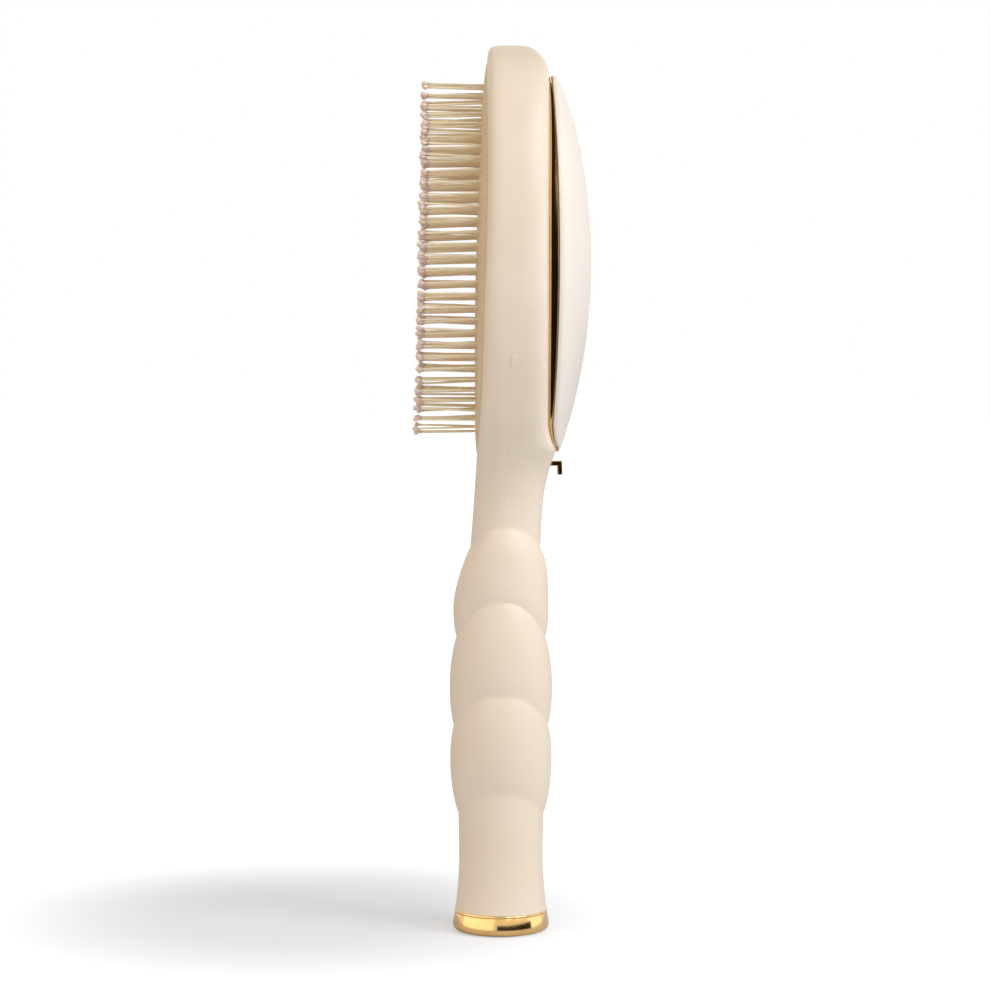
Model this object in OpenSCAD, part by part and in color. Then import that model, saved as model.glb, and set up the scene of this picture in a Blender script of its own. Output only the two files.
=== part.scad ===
// Detangling brush with a bubbled handle, a ball-pin cushion and a hinged compartment lid.
// The brush stands on its base. Z runs up the handle, the pins point along -X and the lid faces +X.
// The origin is the middle of the base underside.

/* [Overall] */
// Height from the base to the top of the head
overall_h = 240; // [200:1:280]
// Height of the bubbled handle, up to its top crease
handle_h = 104.5; // [85:0.1:120]
// Width of the head, across the pins
head_w = 66; // [56:1:76]
// Depth that the head and neck profiles are drawn for
head_d = 18; // [15:0.5:22]
// Diameter of the widest bubble
bubble_d = 27.8; // [24:0.1:32]
// Wall of the two body shells
wall = 2; // [1.6:0.1:2.6]

/* [Cushion and pins] */
// Rim of the shell on each side of the cushion oval
side_rim = 4.5; // [4:0.1:8]
// Rim of the shell above the cushion oval
top_rim = 3.5; // [3:0.1:9]
// Length of the neck, from the top crease to the cushion oval
neck_l = 24.5; // [20:0.1:32]
// How far the cushion crown stands past the front rim
pad_crown = 2.3; // [1:0.1:4]
// Thickness of the rubber membrane
membrane_t = 1.2; // [0.8:0.1:2]
// Thickness of the facing that carries the pins
facing_t = 0.8; // [0.6:0.1:1.4]
// Distance from the front rim to the pin tips
pin_reach = 17.5; // [12:0.5:22]
// Diameter of a pin
pin_d = 0.6; // [0.5:0.05:1]
// Diameter of a pin's ball tip
ball_d = 1.35; // [1:0.05:1.6]
// Distance between pins along and across their ovals
pin_pitch = 3.35; // [3.3:0.05:4.4]
// Distance from the cushion's edge to the outermost pins
pin_inset = 7; // [5:0.1:9]

/* [Lid and compartment] */
// Distance from each side of the head to the lid
lid_side = 5.5; // [5:0.1:9]
// Distance from the top of the head to the lid
lid_top = 8; // [7.5:0.1:14]
// Distance from the top crease to the lid's lower tip
lid_low = 26; // [24:0.1:34]
// Height of the dome above its edge
dome_h = 8.25; // [5:0.05:12]
// Wall of the lid
lid_wall = 1.6; // [1.2:0.1:2.2]
// Height of the gold trim at its middle
trim_h = 2.4; // [1.6:0.1:3]
// Width of the gold trim ring
trim_w = 3; // [2.4:0.1:3.6]
// Depth of the compartment tray
tray_depth = 9; // [6:0.1:9.4]
// Wall of the compartment tray
tray_wall = 1.2; // [1:0.1:1.6]

/* [Release slide] */
// Travel of the release slide
slide_travel = 1.5; // [1:0.1:2]
// Width of the gold thumb tab
tab_w = 6; // [4:0.5:7]
// Wire of the release spring
spring_wire = 0.5; // [0.4:0.05:0.6]

/* [Base] */
// Height of the gold base cap
cap_h = 5.9; // [4.5:0.1:8]
// Largest diameter of the gold base cap
cap_d = 26.2; // [24:0.1:28.5]
// Diameter of the rubber foot
foot_d = 21; // [16:0.5:22]
// Length of the ballast slug
ballast_l = 28; // [16:1:34]

/* [Hidden] */

// Shared clearances and overruns
fit_gap = 0.15;
run_gap = 0.3;
over = 1;

// Finishes
cream = "#E8DCC8";
pale_cream = "#F0E8DC";
gold = "#D9B25F";
pin_cream = "#CDB98C";
blush = "#D9C3B4";
dark_grey = "#55524E";
steel = "#9A9C9E";
white = "#F4F1EA";

// Detail of the lofted surfaces
shell_steps = 14;
dome_steps = 40;
pad_steps = 32;
half_turn = 180;
quarter_turn = half_turn / 2;

// Section exponent runs from round in the handle to squarer in the head
round_power = 2;
head_power = 4;

// Head and neck profiles: share of the head's height, then share of the size that each follows
front_shares = [
    [0, -0.461], [0.128, -0.39], [0.216, -0.35], [0.311, -0.305], [0.56, -0.25],
    [0.707, -0.222], [0.9, -0.212], [0.965, -0.208], [0.985, -0.185], [0.996, -0.12], [1, 0.01]
];
back_shares = [
    [0, 0.594], [0.06, 0.618], [0.1, 0.64], [0.135, 0.68], [0.165, 0.703], [0.2, 0.708], [0.5, 0.708],
    [0.93, 0.708], [0.953, 0.68], [0.972, 0.61], [0.988, 0.51], [0.9965, 0.38], [1, 0.24]
];
width_shares = [
    [0, 0.315], [0.048, 0.326], [0.128, 0.4], [0.2, 0.53], [0.29, 0.71], [0.4, 0.885],
    [0.52, 0.98], [0.634, 1], [0.743, 0.968], [0.839, 0.868], [0.912, 0.7], [0.956, 0.52],
    [0.982, 0.345], [0.995, 0.18], [1, 0.05]
];
seam_shares = [[0, 0.03], [0.16, 0.06], [0.36, 0.15], [0.7, 0.15], [1, 0.13]];
power_shares = [[0, 0], [0.1, 0.1], [0.3, 0.85], [0.5, 1], [1, 1]];
fullness_shares = [[0, 1], [0.12, 1.04], [0.26, 1.24], [0.5, 1.3], [0.95, 1.28], [1, 1.1]];

// Handle: creases as shares of the handle height, radii as shares of the bubble radius
crease_shares = [0.309, 0.537, 0.769, 1];
crease_r_shares = [0.835, 0.917, 0.863, 0.683];
bulge_shares = [0.115, 0.112, 0.14];
bulge_power = 0.75;
straight_r_share = 0.82;
flare_r_share = 0.9;
flare_top_share = 0.14;
saddle_power = 2.5;
saddle_shares = [[0, 0], [0.1, 0], [0.309, 0.064], [0.537, 0.087], [0.769, 0.096], [1, 0.053], [1.32, 0]];
neck_shift_share = 0.067;
neck_shift_from_share = 0.84;

head_h = overall_h - handle_h;
body_z = cap_h;
tip_z = handle_h + lid_low;

// Lip of the back face under the lid's lower tip: share of lid_low past the tip, share of head_d
lip_shares = [[-0.35, 0], [-0.2, 0.022], [-0.08, 0.066], [0, 0.104], [0.03, 0.106], [0.12, 0.05], [0.27, 0]];

// A smooth curve through a list of [place, value] pairs
function span_of(t, tab, i = 0) = i >= len(tab) - 2 || t < tab[i + 1][0] ? i : span_of(t, tab, i + 1);
function rise(tab, i, j) = (tab[j][1] - tab[i][1]) / (tab[j][0] - tab[i][0]);
function tangent(tab, i) =
    i == 0 ? rise(tab, 0, 1)
    : i == len(tab) - 1 ? rise(tab, i - 1, i)
    : let (a = rise(tab, i - 1, i), b = rise(tab, i, i + 1)) a * b <= 0 ? 0 : 2 * a * b / (a + b);
function curve_at(t, tab) =
    let (
        i = span_of(t, tab), p = tab[i], q = tab[i + 1], h = q[0] - p[0],
        u = min(max((t - p[0]) / h, 0), 1), u2 = u * u, u3 = u2 * u
    )
    (2 * u3 - 3 * u2 + 1) * p[1] + (u3 - 2 * u2 + u) * h * tangent(tab, i)
    + (3 * u2 - 2 * u3) * q[1] + (u3 - u2) * h * tangent(tab, i + 1);

// Body profile: each takes a height w along the body
function head_share(w) = (w - handle_h) / head_h;
function bubble_of(s, i = 0) =
    i >= len(bulge_shares) - 1 || s <= crease_shares[i + 1] ? i : bubble_of(s, i + 1);
function bubble_share(s) =
    let (
        i = bubble_of(s), u = (s - crease_shares[i]) / (crease_shares[i + 1] - crease_shares[i]),
        r = crease_r_shares[i] + u * (crease_r_shares[i + 1] - crease_r_shares[i])
    )
    r + bulge_shares[i] * pow(max(4 * u * (1 - u), 0), bulge_power);
function straight_share(s) =
    let (
        foot = body_z / handle_h,
        f = max(0, 1 - (s - foot) / flare_top_share),
        t = min(max((s - crease_shares[0] / 2) / (crease_shares[0] / 2), 0), 1)
    )
    straight_r_share + (flare_r_share - straight_r_share) * f * f
    + (crease_r_shares[0] - straight_r_share) * t * t;
function handle_r(w) =
    let (s = w / handle_h) bubble_d / 2 * (s < crease_shares[0] ? straight_share(s) : bubble_share(s));
function neck_shift(w) =
    let (u = min(max((w / handle_h - neck_shift_from_share) / (1 - neck_shift_from_share), 0), 1))
    head_d * neck_shift_share * u * u * (3 - 2 * u);
function front_x(w) =
    w < handle_h ? neck_shift(w) - handle_r(w) : head_d * curve_at(head_share(w), front_shares);
function lip(w) = head_d * curve_at((w - tip_z) / lid_low, lip_shares);
function back_x(w) =
    w < handle_h ? neck_shift(w) + handle_r(w) : head_d * curve_at(head_share(w), back_shares) + lip(w);
function half_w(w) =
    let (spread = max(0, w / handle_h - neck_shift_from_share) / (1 - neck_shift_from_share))
    w < handle_h ? handle_r(w) + (head_w / 2 * width_shares[0][1] - handle_r(handle_h)) * spread
    : head_w / 2 * curve_at(head_share(w), width_shares);
function seam_x(w) = head_d * (w < handle_h ? seam_shares[0][1] : curve_at(head_share(w), seam_shares));
function power_at(w) =
    w < handle_h ? round_power
    : round_power + (head_power - round_power) * curve_at(head_share(w), power_shares);
function fullness(w) = w < handle_h ? 1 : curve_at(head_share(w), fullness_shares);
function saddle(w) = handle_h * curve_at(w / handle_h, saddle_shares);

// One point of the body surface: side is -1 at the pins and 1 at the lid, t runs seam to seam
function bent(v, n) = sign(v) * pow(abs(v), 2 / n);
function body_point(w, t, side, inset) =
    let (
        seam = seam_x(w), n = power_at(w),
        face = (side < 0 ? seam - front_x(w) : back_x(w) - seam) - inset,
        depth = ((side < 0 ? seam - front_x(w) : back_x(w) - seam)) * fullness(w) - inset,
        reach = min(depth * bent(sin(t), n), face)
    )
    [seam + side * reach, -(half_w(w) - inset) * bent(cos(t), n),
        w + saddle(w) * (1 - pow(sin(t), saddle_power))];

// Heights of the loft's rings: straight, bubbles, neck, lip and head, closer together where it curves most
straight_rings = 5;
bubble_rings = 8;
neck_rings = 3;
lip_rings = 6;
lip_below_share = 0.18;
head_rings = 24;
lip_low = tip_z - lid_low * lip_below_share;
lip_high = tip_z + lid_low * lip_shares[len(lip_shares) - 1][0];
ring_even_share = 0.15;
function eased(u) = (1 - cos(half_turn * u)) / 2;
function crowded(u) = ring_even_share * u + (1 - ring_even_share) * sin(quarter_turn * u);
ring_ws = concat(
    [for (i = [0:straight_rings - 1])
        body_z + (handle_h * crease_shares[0] - body_z) * i / straight_rings],
    [for (k = [0:len(bulge_shares) - 1]) for (i = [0:bubble_rings - 1])
        handle_h * (crease_shares[k] + (crease_shares[k + 1] - crease_shares[k]) * eased(i / bubble_rings))],
    [for (i = [0:neck_rings - 1]) handle_h + (lip_low - handle_h) * i / neck_rings],
    [for (i = [0:lip_rings - 1]) lip_low + (lip_high - lip_low) * i / lip_rings],
    [for (i = [0:head_rings]) lip_high + (overall_h - lip_high) * crowded(i / head_rings)]
);
seat_line = [for (w = ring_ws) if (w >= lip_low) [w, back_x(w)]];
function inner_w(w) = body_z + (w - body_z) * (overall_h - wall - body_z) / (overall_h - body_z);

// One half of the body: outer skin, inner skin and the faces that join them
module half_shell(side) {
    m = shell_steps;
    rings = len(ring_ws);
    outer = [for (w = ring_ws) for (j = [0:m]) body_point(w, half_turn * j / m, side, 0)];
    inner = [for (w = ring_ws) for (j = [0:m]) body_point(inner_w(w), half_turn * j / m, side, wall)];
    base = len(outer);
    function o(i, j) = i * (m + 1) + j;
    function n(i, j) = base + i * (m + 1) + j;
    top = rings - 1;
    skin = [for (i = [0:top - 1]) for (j = [0:m - 1]) each [
        [o(i, j), o(i + 1, j), o(i, j + 1)], [o(i, j + 1), o(i + 1, j), o(i + 1, j + 1)],
        [n(i, j), n(i, j + 1), n(i + 1, j)], [n(i, j + 1), n(i + 1, j + 1), n(i + 1, j)]
    ]];
    foot = [for (j = [0:m - 1]) each [[o(0, j), o(0, j + 1), n(0, j)], [o(0, j + 1), n(0, j + 1), n(0, j)]]];
    seams = [for (i = [0:top - 1]) each [
        [o(i, 0), n(i, 0), o(i + 1, 0)], [n(i, 0), n(i + 1, 0), o(i + 1, 0)],
        [o(i, m), o(i + 1, m), n(i, m)], [n(i, m), o(i + 1, m), n(i + 1, m)]
    ]];
    crown = [for (j = [1:m - 1]) each [
        [o(top, 0), o(top, j + 1), o(top, j)], [n(top, 0), n(top, j), n(top, j + 1)]
    ]];
    lip = [[o(top, 0), n(top, 0), o(top, m)], [n(top, 0), n(top, m), o(top, m)]];
    faces = concat(skin, foot, seams, crown, lip);
    polyhedron(points = concat(outer, inner),
        faces = side > 0 ? faces : [for (f = faces) [f[0], f[2], f[1]]]);
}

// Egg outline in the plane of the head, wider toward the top of the brush
egg_share = 0.1;
egg_points = 72;
function egg(w, l, t) = [w / 2 * cos(t) * (1 + egg_share * sin(t)), l / 2 * sin(t)];
function egg_outline(w, l) = [for (i = [0:egg_points - 1]) egg(w, l, 360 * i / egg_points)];

// A plate or prism with the egg outline, from x0 to x1, centred at height z
module egg_prism(w, l, x0, x1, z) {
    translate([x0, 0, z])
        rotate([90, 0, 90])
            linear_extrude(height = x1 - x0)
                polygon(egg_outline(w, l));
}

// A cylinder along X from x0 to x1
module rod_x(d, x0, x1, y, z, sides = 32) {
    translate([x0, y, z])
        rotate([0, 90, 0])
            cylinder(d = d, h = x1 - x0, $fn = sides);
}

// A cylinder along Y, centred on y = 0
module rod_y(d, length, x, z, sides = 32) {
    translate([x, length / 2, z])
        rotate([90, 0, 0])
            cylinder(d = d, h = length, $fn = sides);
}

// A block between two corners
module block(low, high) {
    translate(low) cube(high - low);
}

// Places in the head
pad_w = head_w - 2 * side_rim;
pad_l = head_h - neck_l - top_rim;
pad_z = handle_h + neck_l + pad_l / 2;
lid_w = head_w - 2 * lid_side;
lid_l = head_h - lid_low - lid_top;
lid_z = handle_h + lid_low + lid_l / 2;
seat_x = back_x(lid_z);
trim_end_share = 0.3;
trim_low_share = 0.2;
trim_end_h = trim_h * trim_end_share;
trim_gap = run_gap;
lid_edge = 0.9;

// Hinge, close under the top tip of the lid
hinge_drop = 1.2;
hinge_sink = 1.7;
hinge_pin_d = 1.5;
hinge_barrel_d = 2.9;
knuckle_w = 8;
ear_w = 4;
hinge_x = seat_x - hinge_sink;
hinge_z = lid_z + lid_l / 2 - hinge_drop;
ear_gap = run_gap;
hinge_span = knuckle_w + 2 * (ear_gap + ear_w);

// Compartment tray
tray_gap = fit_gap;
tray_w = lid_w - 2 * trim_w;
tray_l = lid_l - 2 * trim_w - 6 * run_gap;
tray_floor_x = seat_x - tray_depth - tray_wall;

// Release slide in the neck
tab_t = 1.35;
tab_leg = 3.8;
tab_stand = 2.55;
tab_under_lid = 2.35;
tab_top = lid_z - lid_l / 2 - tab_under_lid;
carriage_t = 4;
carriage_x = 3;
carriage_h = 8.5;
carriage_w = tab_w + 2 * fit_gap;
carriage_top = tab_top;
carriage_low = carriage_top - carriage_h;
spring_l = 5.3;
spring_d = 3.2;
guide_wall = 1.1;
guide_floor = carriage_low - spring_l;

// Base
cap_top_d = 25.2;
cap_low_d = 23.6;
cap_wide_z = 1.8;
cap_lip_h = 0.8;
cap_lip_in = 0.2;
foot_t = 1;
foot_stand = 0.3;
plug_l = 8;
plug_d = 2 * (handle_r(body_z + plug_l) - wall - fit_gap);
ballast_d = 2 * (bubble_d / 2 * straight_r_share - wall - run_gap);
screw_d = 3;
screw_head_d = 5.4;
screw_head_t = 1.6;
cap_screw_l = 9;

// Cushion: shares of the oval at which its rings lie
pad_ring_shares = [0.3, 0.55, 0.75, 0.88, 0.94];
pad_power = 0.55;
pad_edge_recess = 0.4;
bond_gap = fit_gap / 3;
flange_w = 0.8;
flange_t = 1.2;
flange_x = wall + 2 * fit_gap;
plate_t = 1.4;
plate_x = flange_x + flange_t + fit_gap / 3;
post_d = 5;
post_y_share = 0.4;
post_z_share = 0.55;
vent_d = 2;
small_screw_d = 2;
small_head_d = 3.6;
small_head_t = 0.9;
small_screw_l = 2.6;

// Pins
pin_splay = 0.35;
pin_seed = 11;
arc_steps = 72;
neck_share = 0.85;

module front_shell() {
    color(cream)
        difference() {
            half_shell(-1);
            egg_prism(pad_w, pad_l, front_x(handle_h) - over, seat_x, pad_z);
        }
}

module back_shell() {
    color(cream)
        difference() {
            half_shell(1);
            egg_prism(tray_w + 2 * tray_gap, tray_l + 2 * tray_gap, 0, seat_x + over, lid_z);
            rod_y(2 * pocket_r, hinge_span + 2 * run_gap, hinge_x, hinge_z);
            block([carriage_x + carriage_t, -tab_w / 2 - run_gap, tab_top - tab_t - slide_travel - run_gap],
                [back_x(tip_z) + over, tab_w / 2 + run_gap, tab_top + run_gap]);
        }
}

// A closed solid from rings of the egg outline, with a middle point at each end.
// Each ring is [width, length, depth], with its depth measured from the front rim.
module egg_solid(rings, z0) {
    m = pad_steps;
    points = concat(
        [[front_x(z0) + rings[0][2], 0, z0]],
        [for (r = [1:len(rings) - 2]) for (j = [0:m - 1])
            let (e = egg(rings[r][0], rings[r][1], 360 * j / m))
            [front_x(z0 + e[1]) + rings[r][2], e[0], z0 + e[1]]],
        [[front_x(z0) + rings[len(rings) - 1][2], 0, z0]]
    );
    solid_of_rings(points, len(rings) - 2, m);
}

// Faces of a solid whose points are a middle point, then rings of m points, then a middle point
module solid_of_rings(points, rings, m) {
    function at(r, j) = 1 + r * m + j % m;
    last = len(points) - 1;
    polyhedron(points = points, faces = concat(
        [for (j = [0:m - 1]) [0, at(0, j), at(0, j + 1)]],
        [for (r = [0:rings - 2]) for (j = [0:m - 1]) each [
            [at(r, j), at(r + 1, j), at(r, j + 1)], [at(r, j + 1), at(r + 1, j), at(r + 1, j + 1)]]],
        [for (j = [0:m - 1]) [last, at(rings - 1, j + 1), at(rings - 1, j)]]
    ));
}

// Depth of the cushion's face at a share q of its oval, measured from the front rim
function pad_depth(q) = pad_edge_recess - (pad_crown + pad_edge_recess) * pow(1 - q * q, pad_power);
function pad_ring(q, depth, grow = 0) = [q * pad_w + 2 * grow, q * pad_l + 2 * grow, depth];
pad_face_share = pad_ring_shares[len(pad_ring_shares) - 1];

module cushion_pad() {
    back = [for (q = pad_ring_shares) pad_ring(q, pad_depth(q) + facing_t + membrane_t)];
    color(blush)
        egg_solid(concat(
            [[0, 0, pad_depth(0) + facing_t + bond_gap]],
            [for (q = pad_ring_shares) pad_ring(q, pad_depth(q) + facing_t + bond_gap)],
            [
                pad_ring(pad_face_share, pad_depth(pad_face_share), bond_gap),
                pad_ring(1, pad_depth(1), -fit_gap),
                pad_ring(1, flange_x, -fit_gap),
                pad_ring(1, flange_x, flange_w),
                pad_ring(1, flange_x + flange_t, flange_w),
                pad_ring(1, flange_x + flange_t, -fit_gap - membrane_t)
            ],
            [for (i = [len(back) - 1:-1:0]) back[i]],
            [[0, 0, pad_depth(0) + facing_t + membrane_t]]
        ), pad_z);
}

// Length of an egg outline up to each of its steps, as [length, angle] pairs
function arc_table(w, l, i = 0, sum = 0) =
    i > arc_steps ? []
    : let (t = 360 * i / arc_steps, next = 360 * (i + 1) / arc_steps)
    concat([[sum, t]], arc_table(w, l, i + 1, sum + norm(egg(w, l, next) - egg(w, l, t))));
function evenly(w, l, phase) =
    let (tab = arc_table(w, l), full = tab[arc_steps][0], n = round(full / pin_pitch))
    [for (i = [0:n - 1]) egg(w, l, lookup(full * (i + phase) / n, tab))];
pin_ovals = round((pad_w / 2 - pin_inset) / pin_pitch);
pin_spots = [for (k = [0:pin_ovals - 1]) let (in = pin_inset + k * pin_pitch)
    each evenly(pad_w - 2 * in, pad_l - 2 * in, (k % 2) / 2)];

// One ball-tipped pin of four sides, from inside the facing to its tip
module pin(spot, lean) {
    q = norm([2 * spot[0] / pad_w, 2 * spot[1] / pad_l]);
    root = [front_x(pad_z + spot[1]) + pad_depth(q) + facing_t / 2, spot[0], pad_z + spot[1]];
    tip = [front_x(pad_z + spot[1]) - pin_reach, root[1] + lean[0], root[2] + lean[1]];
    run = root[0] - tip[0];
    function ring(back, d) = [for (j = [0:3])
        let (middle = root + (tip - root) * (1 - back / run), a = quarter_turn * j)
        middle + [0, d / 2 * cos(a), d / 2 * sin(a)]];
    m = 4;
    points = concat(ring(run, pin_d), ring(ball_d * neck_share, pin_d), ring(ball_d / 2, ball_d), [tip]);
    function at(r, j) = r * m + j % m;
    polyhedron(points = points, faces = concat(
        [[at(0, 0), at(0, 2), at(0, 1)], [at(0, 0), at(0, 3), at(0, 2)]],
        [for (r = [0:1]) for (j = [0:m - 1]) each [
            [at(r, j), at(r, j + 1), at(r + 1, j)], [at(r, j + 1), at(r + 1, j + 1), at(r + 1, j)]]],
        [for (j = [0:m - 1]) [len(points) - 1, at(2, j), at(2, j + 1)]]
    ));
}

module pin_field() {
    leans = rands(-pin_splay, pin_splay, 2 * len(pin_spots), pin_seed);
    color(pin_cream)
        union() {
            egg_solid(concat(
                [[0, 0, pad_depth(0)]],
                [for (q = pad_ring_shares) pad_ring(q, pad_depth(q))],
                [for (i = [len(pad_ring_shares) - 1:-1:0])
                    pad_ring(pad_ring_shares[i], pad_depth(pad_ring_shares[i]) + facing_t)],
                [[0, 0, pad_depth(0) + facing_t]]
            ), pad_z);
            for (i = [0:len(pin_spots) - 1])
                pin(pin_spots[i], [leans[2 * i], leans[2 * i + 1]]);
        }
}

// Places of the four posts that join the backplate and the tray
post_spots = [for (y = [-1, 1]) for (z = [-1, 1])
    [y * tray_w / 2 * post_y_share, lid_z + z * tray_l / 2 * post_z_share]];
module at_posts() {
    for (spot = post_spots)
        translate([0, spot[0], spot[1]]) children();
}

module pad_backplate() {
    color(white)
        difference() {
            union() {
                egg_solid([
                    [0, 0, plate_x], pad_ring(1, plate_x, flange_w), pad_ring(1, plate_x + plate_t, flange_w),
                    [0, 0, plate_x + plate_t]
                ], pad_z);
                for (spot = post_spots)
                    rod_x(post_d, front_x(spot[1]) + plate_x + plate_t / 2, tray_floor_x, spot[0], spot[1]);
            }
            at_posts() rod_x(small_screw_d, tray_floor_x - small_screw_l, tray_floor_x + over, 0, 0, 24);
            for (z = [-1, 1] * pad_l / 4)
                rod_x(vent_d, front_x(handle_h), seat_x, 0, pad_z + z);
        }
}

module compartment_tray() {
    color(white)
        difference() {
            egg_prism(tray_w, tray_l, tray_floor_x, seat_x, lid_z);
            egg_prism(tray_w - 2 * tray_wall, tray_l - 2 * tray_wall,
                tray_floor_x + tray_wall, seat_x + over, lid_z);
            at_posts() rod_x(small_screw_d, tray_floor_x - over, seat_x, 0, 0, 24);
        }
}

module tray_screws() {
    screw_seat_x = tray_floor_x + tray_wall;
    color(steel)
        at_posts() union() {
            rod_x(small_screw_d, screw_seat_x - small_screw_l, screw_seat_x, 0, 0, 24);
            rod_x(small_head_d, screw_seat_x, screw_seat_x + small_head_t, 0, 0, 24);
        }
}

// Seat of the trim at height z, which follows the lip of the back shell and clears it by a fit gap
function seat_at(z) = let (rise = max(lookup(z, seat_line) - seat_x, 0)) seat_x + rise + min(rise, fit_gap);

// Height of the trim's upper face above its seat: full at the sides, least at the two tips
function trim_top(t) =
    let (tip_h = sin(t) > 0 ? trim_end_h : trim_h * trim_low_share)
    tip_h + (trim_h - tip_h) * cos(t) * cos(t);

// Bead section of the trim: share of its width inward, share of its height
bead_shares = [[1, 0], [0.13, 0], [0.02, 0.2], [0, 0.5], [0.04, 0.8], [0.16, 1], [1, 1]];

module trim_ring() {
    m = dome_steps + 8;
    k = len(bead_shares);
    points = [for (j = [0:m - 1]) for (b = bead_shares)
        let (t = 360 * j / m, e = egg(lid_w - 2 * trim_w * b[0], lid_l - 2 * trim_w * b[0], t))
        [seat_at(lid_z + e[1]) + trim_top(t) * b[1], e[0], lid_z + e[1]]];
    function at(j, i) = (j % m) * k + i % k;
    ear_low = hinge_z - hinge_barrel_d;
    color(gold)
        difference() {
            union() {
                polyhedron(points = points, faces = [for (j = [0:m - 1]) for (i = [0:k - 1]) each [
                    [at(j, i), at(j, i + 1), at(j + 1, i)], [at(j, i + 1), at(j + 1, i + 1), at(j + 1, i)]]]);
                for (side = [-1, 1])
                    translate([0, side * (knuckle_w / 2 + ear_gap + ear_w / 2), 0]) {
                        rod_y(hinge_barrel_d, ear_w, hinge_x, hinge_z);
                        block([hinge_x, -ear_w / 2, ear_low],
                            [seat_x + trim_end_h / 2, ear_w / 2, hinge_z - hinge_barrel_d / 8]);
                    }
            }
            block([hinge_x - hinge_barrel_d, -knuckle_w / 2 - ear_gap, hinge_z - hinge_barrel_d],
                [seat_x + trim_h, knuckle_w / 2 + ear_gap, hinge_z + hinge_barrel_d]);
            rod_y(hinge_pin_d + fit_gap / 3, hinge_span + 2 * over, hinge_x, hinge_z);
        }
}

// Outer face of the lid at share q of its oval and angle t, and the same face one wall inside
dome_power = 0.75;
dome_ring_shares = [0.25, 0.45, 0.62, 0.75, 0.86, 0.94, 0.98];
tip_power = 8;
edge_thinning = 0.7;
function seat_rise(t) = seat_at(lid_z + lid_l / 2 * sin(t)) - seat_x;
function lid_rim(t) = seat_x + seat_rise(t) + trim_top(t) + trim_gap;
function lid_x(q, t) =
    let (at_rim = pow(q, tip_power), thin = edge_thinning * pow(max(-sin(t), 0), tip_power))
    seat_x + trim_h + trim_gap + (trim_top(t) - trim_h) * q * q + seat_rise(t) * at_rim
    + lid_edge * (1 - thin * at_rim) + dome_h * pow(max(1 - q * q, 0), dome_power);

// Radius of the pocket in the back shell that the lid's top tip turns in
pocket_r = lid_x(1 - 2 * hinge_drop / lid_l, quarter_turn) - hinge_x + run_gap;
function lid_ring(q, inset) = [for (j = [0:dome_steps - 1])
    let (t = 360 * j / dome_steps, e = egg(q * (lid_w - 2 * inset), q * (lid_l - 2 * inset), t))
    [max(lid_x(q, t) - inset, lid_rim(t) * floor(q) + bond_gap), e[0], lid_z + e[1]]];
function rim_ring(inset) = [for (j = [0:dome_steps - 1])
    let (t = 360 * j / dome_steps, e = egg(lid_w - 2 * inset, lid_l - 2 * inset, t))
    [lid_rim(t), e[0], lid_z + e[1]]];

// Bosses inside the lid that the liner is fixed to
liner_shrink = 4;
liner_l_share = 0.78;
liner_t = 1;
liner_x = seat_x + trim_h + trim_gap;
boss_d = 4;
boss_y_share = 0.36;
boss_z_share = 0.5;
module at_bosses() {
    for (y = [-1, 1] * lid_w / 2 * boss_y_share, z = [-1, 1] * lid_l / 2 * boss_z_share)
        translate([0, y, lid_z + z]) children();
}

module lid_shell() {
    rings = concat([for (q = dome_ring_shares) each lid_ring(q, 0)], lid_ring(1, 0), rim_ring(0),
        rim_ring(lid_wall),
        [for (i = [len(dome_ring_shares) - 1:-1:0]) each lid_ring(dome_ring_shares[i], lid_wall)]);
    points = concat([[lid_x(0, 0), 0, lid_z]], rings, [[lid_x(0, 0) - lid_wall, 0, lid_z]]);
    color(pale_cream)
        difference() {
            union() {
                mirror([1, 0, 0])
                    solid_of_rings([for (p = points) [-p[0], p[1], p[2]]],
                        len(rings) / dome_steps, dome_steps);
                at_bosses() rod_x(boss_d, liner_x + liner_t, liner_x + liner_t + dome_h / 2, 0, 0);
                rod_y(hinge_barrel_d, knuckle_w, hinge_x, hinge_z);
                block([hinge_x, -knuckle_w / 2, hinge_z - hinge_barrel_d / 2],
                    [lid_rim(quarter_turn) + lid_edge / 2, knuckle_w / 2, hinge_z + hinge_barrel_d / 4]);
            }
            rod_y(hinge_pin_d + 2 * fit_gap / 3, hinge_span, hinge_x, hinge_z);
            at_bosses() rod_x(small_screw_d, liner_x, liner_x + small_screw_l, 0, 0, 24);
        }
}

module lid_liner() {
    color(white)
        difference() {
            egg_prism(lid_w - 2 * (lid_wall + liner_shrink), lid_l * liner_l_share,
                liner_x, liner_x + liner_t, lid_z);
            at_bosses() rod_x(small_screw_d, liner_x - over, liner_x + liner_t + over, 0, 0, 24);
        }
}

module liner_screws() {
    color(steel)
        at_bosses() union() {
            rod_x(small_screw_d, liner_x, liner_x + small_screw_l, 0, 0, 24);
            rod_x(small_head_d, liner_x - small_head_t, liner_x, 0, 0, 24);
        }
}

module hinge_pin() {
    color(steel)
        rod_y(hinge_pin_d, hinge_span - fit_gap, hinge_x, hinge_z);
}

// Thumb tab with its carriage inside the neck
module release_slide() {
    outer_x = seat_x + tab_stand + tab_t;
    color(gold)
        union() {
            block([outer_x - tab_t, -tab_w / 2, tab_top - tab_leg], [outer_x, tab_w / 2, tab_top]);
            block([carriage_x, -tab_w / 2, tab_top - tab_t], [outer_x - tab_t / 2, tab_w / 2, tab_top]);
            block([carriage_x, -carriage_w / 2, carriage_low],
                [carriage_x + carriage_t, carriage_w / 2, carriage_top]);
        }
}

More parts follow.
